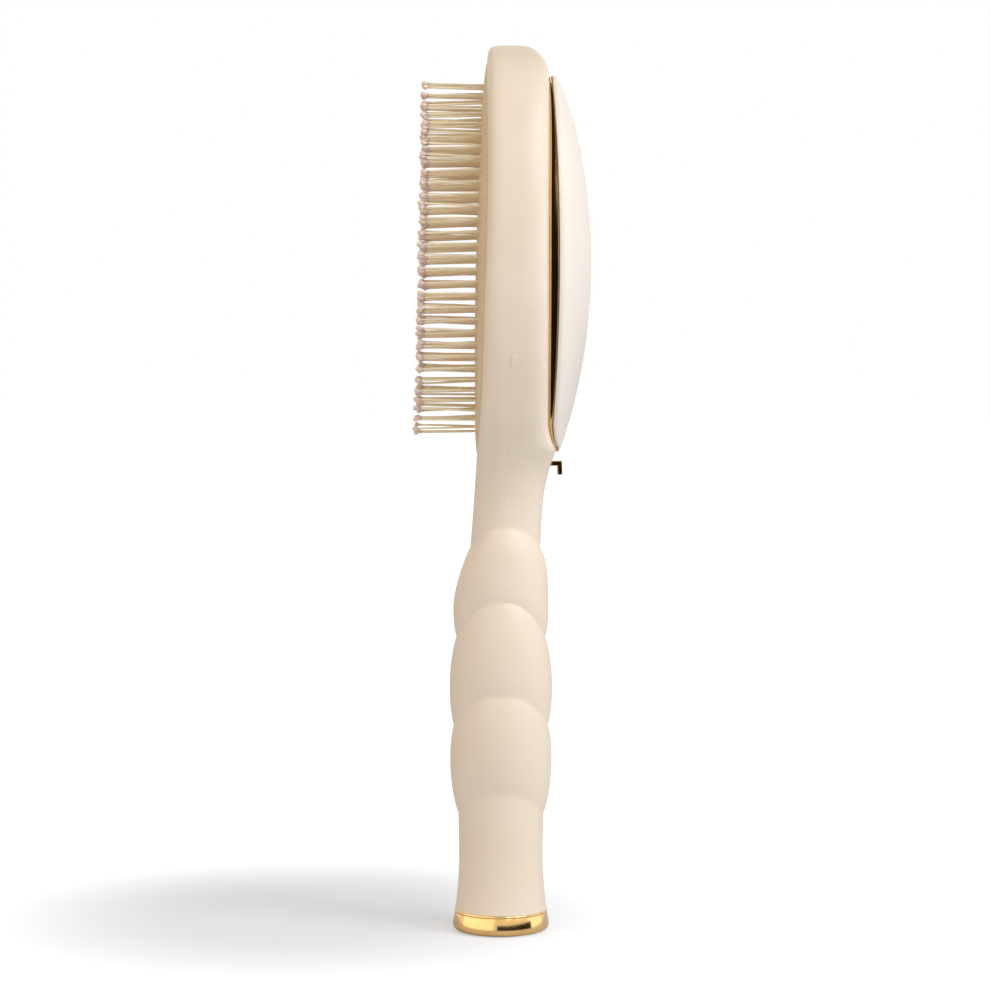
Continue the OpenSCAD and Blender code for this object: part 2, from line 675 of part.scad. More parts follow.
// Open-backed channel that the carriage slides in, with a floor for the spring
module slide_guide() {
    half_in = carriage_w / 2 + fit_gap;
    half_out = half_in + guide_wall;
    color(white)
        difference() {
            block([carriage_x - fit_gap - guide_wall, -half_out, guide_floor - guide_wall],
                [carriage_x + carriage_t - run_gap, half_out, carriage_top - tab_t]);
            block([carriage_x - fit_gap, -half_in, guide_floor],
                [carriage_x + carriage_t + over, half_in, carriage_top + over]);
        }
}

// Coil spring under the carriage
spring_turns = 4;
spring_sides = 6;
spring_steps = 10;
module release_spring() {
    wire_r = spring_wire / 2;
    coil_r = (spring_d - spring_wire) / 2;
    climb = spring_l - spring_wire - 2 * fit_gap;
    count = spring_turns * spring_steps;
    points = [for (i = [0:count]) for (s = [0:spring_sides - 1])
        let (a = 360 * i / spring_steps, b = 360 * s / spring_sides, r = coil_r + wire_r * cos(b))
        [carriage_x + carriage_t / 2 + r * cos(a), r * sin(a),
            guide_floor + fit_gap + wire_r + climb * i / count + wire_r * sin(b)]];
    function at(i, s) = i * spring_sides + s % spring_sides;
    color(steel)
        polyhedron(points = points, faces = concat(
            [for (i = [0:count - 1]) for (s = [0:spring_sides - 1]) each [
                [at(i, s), at(i, s + 1), at(i + 1, s)], [at(i, s + 1), at(i + 1, s + 1), at(i + 1, s)]]],
            [for (s = [1:spring_sides - 2]) [at(0, 0), at(0, s + 1), at(0, s)]],
            [for (s = [1:spring_sides - 2]) [at(count, 0), at(count, s), at(count, s + 1)]]
        ));
}

module base_cap() {
    lip = cap_d / 2 - cap_low_d / 2;
    lip_r = cap_top_d / 2 - cap_lip_in;
    color(gold)
        difference() {
            rotate_extrude($fn = 96)
                polygon(concat(
                    [[0, foot_stand]],
                    [for (i = [0:6]) let (a = quarter_turn * i / 6)
                        [cap_low_d / 2 + lip * sin(a),
                            foot_stand + (cap_wide_z - foot_stand) * (1 - cos(a))]],
                    [[cap_top_d / 2, cap_h - cap_lip_h], [lip_r, cap_h - cap_lip_h],
                        [cap_top_d / 2, cap_h - cap_lip_h / 2], [lip_r, cap_h], [0, cap_h]]
                ));
            translate([0, 0, -over])
                cylinder(d = foot_d + 2 * fit_gap, h = foot_t + over, $fn = 96);
            translate([0, 0, -over])
                cylinder(d = screw_d, h = cap_h + 2 * over, $fn = 32);
            translate([0, 0, -over])
                cylinder(d = screw_head_d + 2 * fit_gap,
                    h = over + foot_t + screw_head_t + fit_gap, $fn = 32);
        }
}

module foot_pad() {
    color(dark_grey)
        cylinder(d = foot_d, h = foot_t - fit_gap, $fn = 96);
}

module handle_plug() {
    color(white)
        difference() {
            translate([0, 0, cap_h])
                cylinder(d = plug_d, h = plug_l, $fn = 96);
            translate([0, 0, cap_h - over])
                cylinder(d = screw_d, h = cap_screw_l - cap_h + foot_t + screw_head_t + 2 * over, $fn = 32);
        }
}

module cap_screw() {
    head_z = foot_t + fit_gap;
    color(steel)
        union() {
            translate([0, 0, head_z])
                cylinder(d = screw_head_d, h = screw_head_t, $fn = 32);
            translate([0, 0, head_z])
                cylinder(d = screw_d, h = screw_head_t + cap_screw_l, $fn = 32);
        }
}

module ballast() {
    color(steel)
        translate([0, 0, cap_h + plug_l])
            cylinder(d = ballast_d, h = ballast_l, $fn = 64);
}

front_shell();
back_shell();
cushion_pad();
pin_field();
pad_backplate();
compartment_tray();
tray_screws();
trim_ring();
lid_shell();
lid_liner();
liner_screws();
hinge_pin();
release_slide();
slide_guide();
release_spring();
base_cap();
foot_pad();
handle_plug();
cap_screw();
ballast();
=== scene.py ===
"""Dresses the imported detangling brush: shells, cushion, pins, lid, trim, tab and base cap."""

import logging
import math
from dataclasses import dataclass
from enum import Enum
from functools import cache
from itertools import product
from typing import Callable, Sequence

import bmesh
import bpy
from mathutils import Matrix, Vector


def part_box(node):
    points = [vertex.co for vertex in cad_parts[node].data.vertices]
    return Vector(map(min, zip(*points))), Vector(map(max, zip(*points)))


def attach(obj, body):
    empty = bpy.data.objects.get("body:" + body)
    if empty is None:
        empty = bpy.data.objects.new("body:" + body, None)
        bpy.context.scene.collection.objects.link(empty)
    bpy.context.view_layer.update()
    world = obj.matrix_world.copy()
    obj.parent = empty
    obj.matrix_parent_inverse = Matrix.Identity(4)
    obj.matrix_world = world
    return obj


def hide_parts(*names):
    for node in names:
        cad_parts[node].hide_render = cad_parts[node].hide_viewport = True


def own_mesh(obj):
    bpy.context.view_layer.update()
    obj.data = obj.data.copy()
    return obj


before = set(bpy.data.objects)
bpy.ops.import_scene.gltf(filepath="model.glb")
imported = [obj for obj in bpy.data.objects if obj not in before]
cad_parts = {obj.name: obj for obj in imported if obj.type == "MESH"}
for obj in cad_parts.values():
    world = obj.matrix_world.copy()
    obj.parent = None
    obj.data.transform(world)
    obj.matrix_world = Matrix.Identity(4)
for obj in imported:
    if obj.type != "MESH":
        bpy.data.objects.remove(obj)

log = logging.getLogger("brush")
MM = 0.001
WELD = 2e-6
"""Points of a piece closer than this, in metres, become one."""
Point = tuple[float, float, float]
Pair = tuple[float, float]
Solid = tuple[list[Point], list[list[int]]]


def linear(code: str) -> tuple[float, float, float, float]:
    """Turns a written colour into linear light.

    Args:
        code: six hexadecimal digits, red first.

    Returns:
        Red, green, blue and alpha.
    """
    parts = [int(code[i:i + 2], 16) / 255 for i in (0, 2, 4)]
    return (*[p / 12.92 if p <= 0.04045 else ((p + 0.055) / 1.055) ** 2.4 for p in parts], 1.0)


@dataclass(frozen=True)
class Noise:
    """Smooth noise over an object: its waves per metre, its detail and its stretch."""

    scale: float
    detail: float = 2
    stretch: Point = (1, 1, 1)


def plug(target: bpy.types.NodeSocket, item: object) -> None:
    """Links a socket to another socket, or sets it to a number or colour.

    Args:
        target: the input.
        item: what it gets.
    """
    if isinstance(item, bpy.types.NodeSocket):
        target.id_data.links.new(item, target)
    else:
        target.default_value = item


def new_node(tree: bpy.types.NodeTree, kind: str, settings: dict | None = None,
             inputs: dict | None = None) -> bpy.types.Node:
    """Adds a node to a tree.

    Args:
        tree: the shader or geometry tree.
        kind: the node's type.
        settings: its own properties, set first.
        inputs: numbers, colours or sockets for its inputs, by name or number.

    Returns:
        The node.
    """
    made = tree.nodes.new(kind)
    for key, item in (settings or {}).items():
        setattr(made, key, item)
    for key, item in (inputs or {}).items():
        plug(made.inputs[key] if isinstance(key, int)
             else next(s for s in made.inputs if s.enabled and s.name == key), item)
    return made


class Recipe:
    """One node material with a Principled shader."""

    def __init__(self, name: str) -> None:
        """Makes the material with its shader and output.

        Args:
            name: the material's name.
        """
        self.material = bpy.data.materials.new(name)
        self.material.use_nodes = True
        self.tree = self.material.node_tree
        self.tree.nodes.clear()
        self.shader = self.tree.nodes.new("ShaderNodeBsdfPrincipled")
        self.output = self.tree.nodes.new("ShaderNodeOutputMaterial")
        plug(self.output.inputs[0], self.shader.outputs[0])

    def node(self, kind: str, settings: dict | None = None, inputs: dict | None = None) -> bpy.types.Node:
        """Adds a node to the material."""
        return new_node(self.tree, kind, settings, inputs)

    def place(self) -> bpy.types.NodeSocket:
        """The object coordinates."""
        return self.node("ShaderNodeTexCoord").outputs["Object"]

    def noise(self, noise: Noise) -> bpy.types.NodeSocket:
        """Adds a noise texture."""
        spot = self.node("ShaderNodeMapping", inputs={"Vector": self.place(), "Scale": noise.stretch})
        return self.node("ShaderNodeTexNoise", inputs={
            "Vector": spot.outputs[0], "Scale": noise.scale, "Detail": noise.detail}).outputs[0]

    def product(self, first: object, second: object) -> bpy.types.NodeSocket:
        """Two values multiplied."""
        return self.node("ShaderNodeMath", {"operation": "MULTIPLY"}, {0: first, 1: second}).outputs[0]

    def moved(self, least: object, span: float, factor: object) -> bpy.types.NodeSocket:
        """A least value, raised by a span times a factor."""
        part = self.product(factor, span)
        return self.node("ShaderNodeMath", {"operation": "ADD"}, {0: part, 1: least}).outputs[0]

    def mix(self, factor: object, low: str, high: str) -> bpy.types.NodeSocket:
        """A colour between two, by a value from 0 to 1."""
        return self.node("ShaderNodeMix", {"data_type": "RGBA"}, {
            "Factor": factor, "A": linear(low), "B": linear(high)}).outputs[2]

    def bump(self, height: object, distance: float, strength: float = 1.0) -> None:
        """Feeds the shader's normal from a height.

        Args:
            height: the relief.
            distance: its depth, in metres.
            strength: its weight, up to 1.
        """
        made = self.node("ShaderNodeBump", inputs={
            "Height": height, "Distance": distance, "Strength": strength})
        plug(self.shader.inputs["Normal"], made.outputs[0])

    def feed(self, **sockets: object) -> None:
        """Sets or links the shader's sockets, named with underscores for spaces."""
        for key, item in sockets.items():
            plug(self.shader.inputs[key.replace("_", " ")], item)

    def surface(self, shader: bpy.types.Node) -> bpy.types.Material:
        """Puts another shader at the output and hands over the material."""
        plug(self.output.inputs[0], shader.outputs[0])
        return self.material


@dataclass(frozen=True)
class Look:
    """A finish of two tones under a noise that also moves its roughness, with a fine relief.

    The depth is that of the relief, in metres, with its strength. The relief follows the tones where it has
    no noise of its own.
    """

    name: str
    light: str
    deep: str
    tones: Noise
    rough: Pair
    depth: Pair
    relief: Noise | None = None

    def sockets(self) -> dict[str, object]:
        """Other inputs of the shader."""
        return {}

    def build(self) -> bpy.types.Material:
        """Makes the material.

        Returns:
            The material.
        """
        r = Recipe(self.name)
        tone = r.noise(self.tones)
        r.feed(Base_Color=r.mix(tone, self.deep, self.light), Roughness=r.moved(*self.rough, tone),
               **self.sockets())
        r.bump(r.noise(self.relief) if self.relief else tone, *self.depth)
        return r.material


@dataclass(frozen=True)
class SatinPlastic(Look):
    """Moulded plastic with a soft sheen, faint clouding and a fine moulded grain."""

    tones: Noise = Noise(55, 3)
    rough: Pair = (0.42, 0.08)
    depth: Pair = (0.000012, 0.5)
    relief: Noise = Noise(2600)
    coat: float = 0.1

    def sockets(self) -> dict[str, object]:
        """A thin coat, and light that enters the plastic a little."""
        return {"Coat_Weight": self.coat, "Coat_Roughness": 0.25, "IOR": 1.47,
                "Subsurface_Weight": 0.06, "Subsurface_Radius": (0.004, 0.003, 0.002)}


@dataclass(frozen=True)
class Nylon(Look):
    """Pin nylon, a little glossy, with a tone that drifts from pin to pin."""

    tones: Noise = Noise(420, 1)
    rough: Pair = (0.31, 0.1)
    depth: Pair = (0.00001, 0.4)
    relief: Noise = Noise(3000, 1)

    def sockets(self) -> dict[str, object]:
        """Light that enters the nylon."""
        return {"Subsurface_Weight": 0.8, "Subsurface_Radius": (0.0005, 0.0004, 0.0003)}


@dataclass(frozen=True)
class Metal(Look):
    """A bare metal."""

    def sockets(self) -> dict[str, object]:
        """Metal all through."""
        return {"Metallic": 1.0}


@dataclass(frozen=True)
class PolishedGold(Metal):
    """Bright gold plate with faint drawn lines and cloudy polish."""

    name: str = "polished_gold"
    light: str = "F2CF93"
    deep: str = "E0B26E"
    tones: Noise = Noise(140, 3)
    rough: Pair = (0.09, 0.07)
    depth: Pair = (0.000004, 0.4)
    relief: Noise = Noise(900, 2, (1, 1, 0.05))


@dataclass(frozen=True)
class TurnedSteel(Metal):
    """Zinc-plated steel with fine turning lines."""

    name: str = "plated_steel"
    light: str = "BFC1C4"
    deep: str = "9B9DA0"
    tones: Noise = Noise(1400, 3, (1, 1, 0.1))
    rough: Pair = (0.28, 0.14)
    depth: Pair = (0.00001, 0.4)


@dataclass(frozen=True)
class PlainRubber(Look):
    """Matte foot rubber with a dusty grain."""

    name: str = "foot_rubber"
    light: str = "63605B"
    deep: str = "4A4744"
    tones: Noise = Noise(900, 4)
    rough: Pair = (0.7, 0.15)
    depth: Pair = (0.00004, 0.6)


@dataclass(frozen=True)
class DottedRubber:
    """Soft cushion rubber with rows of fine dots pressed into it, each dot painted darker toward its middle:
    painted shade in the dimple.
    """

    name: str = "cushion_rubber"
    light: str = "E6CFAC"
    deep: str = "D2B892"
    pitch: float = 0.9 * MM
    depth: Pair = (0.00012, 0.6)

    def build(self) -> bpy.types.Material:
        """Makes the material.

        Returns:
            The material.
        """
        r = Recipe(self.name)
        cloud = r.noise(Noise(70))
        dots = r.node("ShaderNodeTexVoronoi", inputs={
            "Vector": r.place(), "Scale": 1 / self.pitch, "Randomness": 0.0})
        ring = dots.outputs["Distance"]
        # painted shade: the colour darkens toward the middle of each dimple, where the relief sinks, under a
        # random cloudy tone
        tone = r.moved(r.product(ring, 0.4), 0.6, cloud)
        r.feed(Base_Color=r.mix(tone, self.deep, self.light), Roughness=r.moved(0.55, 0.1, cloud),
               Subsurface_Weight=0.08, Subsurface_Radius=(0.003, 0.002, 0.0015))
        r.bump(ring, *self.depth)
        return r.material


class Finish(Enum):
    """The finishes of the brush, each with the record's slot."""

    SHELL = (SatinPlastic("shell_cream", "EFE0CB", "EAD8BF"), "shell_cream")
    LID = (SatinPlastic("lid_cream", "F0E7DB", "ECE1D2", rough=(0.36, 0.08)), "lid_cream")
    GOLD = (PolishedGold(), "gold_metal")
    CUSHION = (DottedRubber(), "cushion_rubber")
    PIN = (Nylon("pin_nylon", "FFF0D8", "FAE1BC"), "pin_nylon")
    TIP = (Nylon("pin_tip", "F4E0D2", "E6CCBC", rough=(0.37, 0.1)), "pin_nylon")
    FOOT = (PlainRubber(), "foot_rubber")
    INNER = (SatinPlastic("inner_plastic", "F2EEE4", "E9E3D6", rough=(0.46, 0.08), coat=0.0), "inner_plastic")
    STEEL = (TurnedSteel(), "steel")


@cache
def paint(finish: Finish) -> bpy.types.Material:
    """The material of a finish, made once."""
    return finish.value[0].build()


def added(name: str, data: bpy.types.ID) -> bpy.types.Object:
    """Adds an object with its data to the scene.

    Args:
        name: the object's name.
        data: its mesh, lamp or camera.

    Returns:
        The object.
    """
    piece = bpy.data.objects.new(name, data)
    bpy.context.scene.collection.objects.link(piece)
    return piece


def new_piece(name: str, points: Sequence[Point], faces: Sequence[Sequence[int]],
              material: bpy.types.Material, sharp: float = 35.0) -> bpy.types.Object:
    """Makes a mesh piece from points in millimetres.

    Args:
        name: the piece's name.
        points: its vertices, in millimetres.
        faces: its faces, outward by the right-hand rule.
        material: its finish.
        sharp: edges over this angle, in degrees, shade hard.

    Returns:
        The object, in the scene.
    """
    mesh = bpy.data.meshes.new(name)
    mesh.from_pydata([Vector(p) * MM for p in points], [], [list(f) for f in faces])
    bm = bmesh.new()
    bm.from_mesh(mesh)
    bmesh.ops.remove_doubles(bm, verts=bm.verts, dist=WELD)
    bmesh.ops.dissolve_degenerate(bm, edges=bm.edges, dist=1e-7)
    bmesh.ops.recalc_face_normals(bm, faces=bm.faces)
    bm.to_mesh(mesh)
    bm.free()
    mesh.materials.append(material)
    shade(mesh, sharp)
    return added(name, mesh)


def shade(mesh: bpy.types.Mesh, sharp: float) -> None:
    """Shades a mesh smooth, with hard edges over an angle in degrees."""
    mesh.shade_smooth()
    mesh.set_sharp_from_angle(angle=math.radians(sharp))


def baked(piece: bpy.types.Object) -> bpy.types.Object:
    """Applies a piece's modifiers into a plain mesh.

    Args:
        piece: the piece.

    Returns:
        The same piece.
    """
    graph = bpy.context.evaluated_depsgraph_get()
    mesh = bpy.data.meshes.new_from_object(piece.evaluated_get(graph))
    piece.modifiers.clear()
    piece.data = mesh
    return piece


def softened(piece: bpy.types.Object, width: float, segments: int) -> None:
    """Rounds a piece's edges by a width in millimetres.

    Args:
        piece: the piece.
        width: width of the rounding, in millimetres.
        segments: its steps.
    """
    bevel = piece.modifiers.new("soft_edges", "BEVEL")
    bevel.width, bevel.segments = width * MM, segments
    baked(piece)


def seat(piece: bpy.types.Object, body: str, finish: Finish, *nodes: str) -> bpy.types.Object:
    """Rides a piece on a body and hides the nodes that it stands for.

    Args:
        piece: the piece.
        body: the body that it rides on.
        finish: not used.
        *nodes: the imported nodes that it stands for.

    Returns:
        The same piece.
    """
    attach(piece, body)
    if nodes:
        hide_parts(*nodes)
    log.info("%s rides on %s", piece.name, body)
    return piece


class Curve:
    """A smooth line through [place, value] pairs that never overshoots."""

    def __init__(self, *pairs: Pair) -> None:
        """Keeps the pairs and works out their slopes.

        Args:
            *pairs: places and values, in order.
        """
        self.pairs = pairs
        rises = [(b[1] - a[1]) / (b[0] - a[0]) for a, b in zip(pairs, pairs[1:])]
        inner = [0 if a * b <= 0 else 2 * a * b / (a + b) for a, b in zip(rises, rises[1:])]
        self.slopes = [rises[0], *inner, rises[-1]]

    def at(self, t: float) -> float:
        """The value at a place.

        Args:
            t: the place.

        Returns:
            The value there.
        """
        last = len(self.pairs) - 2
        i = next((k for k in range(last) if t < self.pairs[k + 1][0]), last)
        (t0, v0), (t1, v1) = self.pairs[i], self.pairs[i + 1]
        h = t1 - t0
        u = min(max((t - t0) / h, 0.0), 1.0)
        return ((2 * u ** 3 - 3 * u ** 2 + 1) * v0 + (u ** 3 - 2 * u ** 2 + u) * h * self.slopes[i]
                + (3 * u ** 2 - 2 * u ** 3) * v1 + (u ** 3 - u ** 2) * h * self.slopes[i + 1])


EGG = 0.1
"""How much wider the egg outlines are toward the top, as a share."""


def egg(width: float, length: float, degrees: float) -> Pair:
    """A point of the egg outline: across and along, wider toward the top."""
    t = math.radians(degrees)
    return width / 2 * math.cos(t) * (1 + EGG * math.sin(t)), length / 2 * math.sin(t)


def turning(past: Callable[[float], bool]) -> float:
    """The angle from 0 to 90 degrees from which a test holds.

    Args:
        past: the test of an angle.

    Returns:
        The angle, in degrees.
    """
    low, high = 0.0, 90.0
    for _ in range(40):
        mid = (low + high) / 2
        low, high = (low, mid) if past(mid) else (mid, high)
    return low


def soft_min(a: float, b: float, blend: float) -> float:
    """The smaller of two, with the corner between them rounded."""
    h = max(blend - abs(a - b), 0.0) / blend
    return min(a, b) - h * h * blend / 4


@dataclass
class BodyForm:
    """The surface of the body, in millimetres, as heights, half widths and faces.

    Shares of the head run from 0 at the neck to 1 at the top, and shares of the handle from 0 at the base.
    """

    height: float = 240.0
    handle: float = 104.5
    width: float = 66.0
    depth: float = 18.0
    bubble: float = 27.8
    foot: float = 5.9
    wall: float = 2.0
    edge_blend: float = 2.6
    full_blend: float = 0.2
    waist: float = 0.82
    flare: float = 0.08
    flare_run: float = 0.14
    lean: float = 0.067
    lean_from: float = 0.84
    lean_run: float = 0.16
    neck_half: float = 0.315
    seat_share: float = 0.708
    seat_below: float = 200.0
    crease_power: float = 2.5
    front: Curve = Curve(
        (0, -0.461), (0.128, -0.39), (0.216, -0.35), (0.311, -0.305), (0.56, -0.25), (0.707, -0.222),
        (0.9, -0.212), (0.965, -0.208), (0.985, -0.185), (0.996, -0.12), (1, 0.01))
    back: Curve = Curve(
        (0, 0.594), (0.06, 0.618), (0.1, 0.64), (0.135, 0.68), (0.165, 0.703), (0.2, 0.708), (0.5, 0.708),
        (0.93, 0.708), (0.953, 0.68), (0.972, 0.61), (0.988, 0.51), (0.9965, 0.38), (1, 0.24))
    half: Curve = Curve(
        (0, 0.315), (0.048, 0.326), (0.128, 0.4), (0.2, 0.53), (0.29, 0.71), (0.4, 0.885), (0.52, 0.98),
        (0.634, 1), (0.743, 0.968), (0.839, 0.868), (0.912, 0.7), (0.956, 0.52), (0.982, 0.345),
        (0.995, 0.18), (1, 0.05))
    seam: Curve = Curve(
        (0, 0.03), (0.16, 0.06), (0.36, 0.15), (0.7, 0.15), (1, 0.13))
    power: Curve = Curve((0, 0), (0.1, 0.1), (0.3, 0.85), (0.5, 1), (1, 1))
    fullness: Curve = Curve(
        (0, 1), (0.12, 1.04), (0.26, 1.24), (0.5, 1.3), (0.95, 1.28), (1, 1.1))
    lift: Curve = Curve(
        (0, 0), (0.1, 0), (0.309, 0.064), (0.537, 0.087), (0.769, 0.096), (1, 0.053), (1.32, 0))
    lip: Curve = Curve(
        (-0.35, 0), (-0.2, 0.022), (-0.08, 0.066), (0, 0.104), (0.03, 0.106), (0.12, 0.05), (0.27, 0))
    lip_z: float = 130.5
    lip_run: float = 26.0
    creases: tuple[float, ...] = (0.309, 0.537, 0.769, 1.0)
    crease_radii: tuple[float, ...] = (0.835, 0.917, 0.863, 0.683)
    bulges: tuple[float, ...] = (0.115, 0.112, 0.14)
    bulge_power: float = 0.75

    def radius(self, w: float) -> float:
        """Radius of the bubbled handle at a height.

        Args:
            w: height, in millimetres.

        Returns:
            The radius.
        """
        s = w / self.handle
        if s < self.creases[0]:
            f = max(0.0, 1 - (s - self.foot / self.handle) / self.flare_run)
            t = min(max((s / self.creases[0] - 0.5) * 2, 0.0), 1.0)
            share = self.waist + self.flare * f * f + (self.crease_radii[0] - self.waist) * t * t
        else:
            i = next((k for k in range(2) if s <= self.creases[k + 1]), 2)
            u = (s - self.creases[i]) / (self.creases[i + 1] - self.creases[i])
            share = (self.crease_radii[i] * (1 - u) + self.crease_radii[i + 1] * u
                     + self.bulges[i] * max(4 * u * (1 - u), 0.0) ** self.bulge_power)
        return self.bubble / 2 * share

    def shift(self, w: float) -> float:
        """How far the handle's middle leans toward the lid."""
        u = min(max((w / self.handle - self.lean_from) / self.lean_run, 0.0), 1.0)
        return self.depth * self.lean * u * u * (3 - 2 * u)

    def share(self, w: float) -> float:
        """A height as a share of the head."""
        return (w - self.handle) / (self.height - self.handle)

    def face(self, w: float, side: int) -> float:
        """Place of the front (-1) or back (1) face at a height.

        Args:
            w: height, in millimetres.
            side: -1 for the front, 1 for the back.

        Returns:
            Depth along X.
        """
        if w < self.handle:
            return self.shift(w) + side * self.radius(w)
        lip = self.lip.at((w - self.lip_z) / self.lip_run) if side > 0 else 0.0
        return self.depth * ((self.front if side < 0 else self.back).at(self.share(w)) + lip)

    def half_width(self, w: float) -> float:
        """Half the width at a height.

        Args:
            w: height, in millimetres.

        Returns:
            Half the width.
        """
        if w < self.handle:
            gap = self.width / 2 * self.neck_half - self.radius(self.handle)
            return self.radius(w) + gap * max(0.0, w / self.handle - self.lean_from) / self.lean_run
        return self.width / 2 * self.half.at(self.share(w))

    def seam_x(self, w: float) -> float:
        """Place of the seam at a height."""
        return self.depth * self.seam.at(max(self.share(w), 0.0))

    def exponent(self, w: float) -> float:
        """Roundness of the section: 2 is an ellipse."""
        return 2.0 + 2.0 * self.power.at(max(self.share(w), 0.0))

    def point(self, w: float, t: float, side: int, inset: float = 0.0) -> Point:
        """A surface point.

        Args:
            w: height of its ring.
            t: 0 at the seam, 90 in the middle of the face, in degrees.
            side: -1 for the pin side, 1 for the lid side.
            inset: how far it lies under the surface.

        Returns:
            The point on the -Y half.
        """
        a = math.radians(t)
        n = 2 / self.exponent(w)
        face = side * (self.face(w, side) - self.seam_x(w))
        full = self.fullness.at(max(self.share(w), 0.0))
        bulge = (face * full - inset) * abs(math.sin(a)) ** n
        blend = max(self.edge_blend * min((full - 1) / self.full_blend, 1.0), 0.001)
        reach = (soft_min(bulge, face - inset, blend) * (face - inset)
                 / soft_min(face * full - inset, face - inset, blend))
        return (self.seam_x(w) + side * reach,
                -(self.half_width(w) - inset) * max(math.cos(a), 0.0) ** n,
                w + self.handle * self.lift.at(w / self.handle) * (1 - abs(math.sin(a)) ** self.crease_power))

    def x_at(self, y: float, z: float, side: int, inset: float = 0.0) -> float:
        """Depth of the surface at a place on the face of the head."""
        share = min(abs(y) / (self.half_width(z) - inset), 1.0)
        return self.point(z, math.degrees(math.acos(share ** (self.exponent(z) / 2))), side, inset)[0]

    def seat(self, z: float) -> float:
        """Depth of the seat of the trim and the lid, which climbs the lip at the lid's lower tip."""
        flat = self.depth * self.seat_share
        return max(self.face(z, 1), flat) if z < self.seat_below else flat


FORM = BodyForm()
NECK_L, TOP_RIM = 24.5, 3.5
"""The body below and above the cushion's opening, in millimetres."""
PAD_L = FORM.height - FORM.handle - NECK_L - TOP_RIM
PAD_Z = FORM.handle + NECK_L + PAD_L / 2
LID_LOW, LID_TOP = 26, 8
"""The body below and above the lid, in millimetres."""
LID_L = FORM.height - FORM.handle - LID_LOW - LID_TOP
LID_Z = FORM.handle + LID_LOW + LID_L / 2
SEAT_X = FORM.face(LID_Z, 1)
HINGE = (SEAT_X - 1.7, LID_Z + LID_L / 2 - 1.2)
"""Depth and height of the hinge's axis, under the seat and within the lid's top tip."""
KNUCKLE_R = 1.45
TAB_TOP = LID_Z - LID_L / 2 - 2.35
"""Height of the thumb tab's upper face, just under the lid."""


def mirrored(points: list[Point], faces: list[list[int]]) -> Solid:
    """Adds the mirror image across the middle plane of the brush.

    Args:
        points: one half's points.
        faces: its faces.

    Returns:
        Both halves.
    """
    base = len(points)
    return (points + [(x, -y, z) for x, y, z in points],
            faces + [[base + k for k in reversed(f)] for f in faces])


def circle(radius: float, sides: int) -> list[Pair]:
    """The corners of a round ring."""
    turns = [math.tau * k / sides for k in range(sides)]
    return [(radius * math.cos(t), radius * math.sin(t)) for t in turns]


def prism(low: list[Point], high: list[Point]) -> Solid:
    """A closed solid between two outlines with as many corners each.

    Args:
        low: the first outline.
        high: the second outline.

    Returns:
        Points and faces.
    """
    m = len(low)
    faces = [[k, (k + 1) % m, m + (k + 1) % m, m + k] for k in range(m)]
    return low + high, faces + [list(range(m))[::-1], [m + k for k in range(m)]]


def rod(start: Point, end: Point, radius: float, sides: int = 32) -> Solid:
    """A closed cylinder between two points.

    Args:
        start: middle of one end.
        end: middle of the other.
        radius: its radius.
        sides: its flats.

    Returns:
        Points and faces.
    """
    axis = (Vector(end) - Vector(start)).normalized()
    turn = Vector((0, 0, 1)).rotation_difference(axis)
    ring = [turn @ Vector((x, y, 0)) for x, y in circle(radius, sides)]
    return prism(*([tuple(Vector(c) + v) for v in ring] for c in (start, end)))


def box(low: Point, high: Point) -> Solid:
    """A closed block between two corners."""
    points = [(x, y, z) for x in (low[0], high[0]) for y in (low[1], high[1]) for z in (low[2], high[2])]
    return points, [[0, 1, 3, 2], [4, 6, 7, 5], [0, 4, 5, 1], [2, 3, 7, 6], [0, 2, 6, 4], [1, 5, 7, 3]]


def merged(*solids: Solid) -> Solid:
    """Several closed solids as one list of points and faces.

    Args:
        *solids: the solids.

    Returns:
        Points and faces.
    """
    points: list[Point] = []
    faces: list[list[int]] = []
    for some_points, some_faces in solids:
        faces += [[len(points) + k for k in f] for f in some_faces]
        points += some_points
    return points, faces


def ringed(rings: Sequence[Sequence[Point]], start: Point | None = None, end: Point | None = None,
           closed: bool = False) -> Solid:
    """A skin over closed rings of equal length, with a middle point or another ring at each end.

    Args:
        rings: the rings, in order.
        start: middle point before the first ring.
        end: middle point after the last ring.
        closed: joins the last ring to the first.

    Returns:
        Points and faces.
    """
    m = len(rings[0])
    points = [p for ring in rings for p in ring]
    faces = []
    spans = len(rings) if closed else len(rings) - 1
    for r in range(spans):
        a, b = r * m, (r + 1) % len(rings) * m
        faces += [[a + j, a + (j + 1) % m, b + (j + 1) % m, b + j] for j in range(m)]
    if start is not None:
        points.append(start)
        faces += [[len(points) - 1, (j + 1) % m, j] for j in range(m)]
    if end is not None:
        last = (len(rings) - 1) * m
        points.append(end)
        faces += [[len(points) - 1, last + j, last + (j + 1) % m] for j in range(m)]
    return points, faces


def cut(piece: bpy.types.Object, *solids: Solid) -> None:
    """Cuts closed solids, in millimetres, out of a piece.

    Args:
        piece: what is cut.
        *solids: what is taken out.
    """
    for points, faces in solids:
        tool = new_piece("cutter", points, faces, piece.data.materials[0])
        change = piece.modifiers.new("cut", "BOOLEAN")
        change.operation = "DIFFERENCE"
        change.solver = "EXACT"
        change.object = tool
        baked(piece)
        bpy.data.objects.remove(tool)
    shade(piece.data, sharp=35)


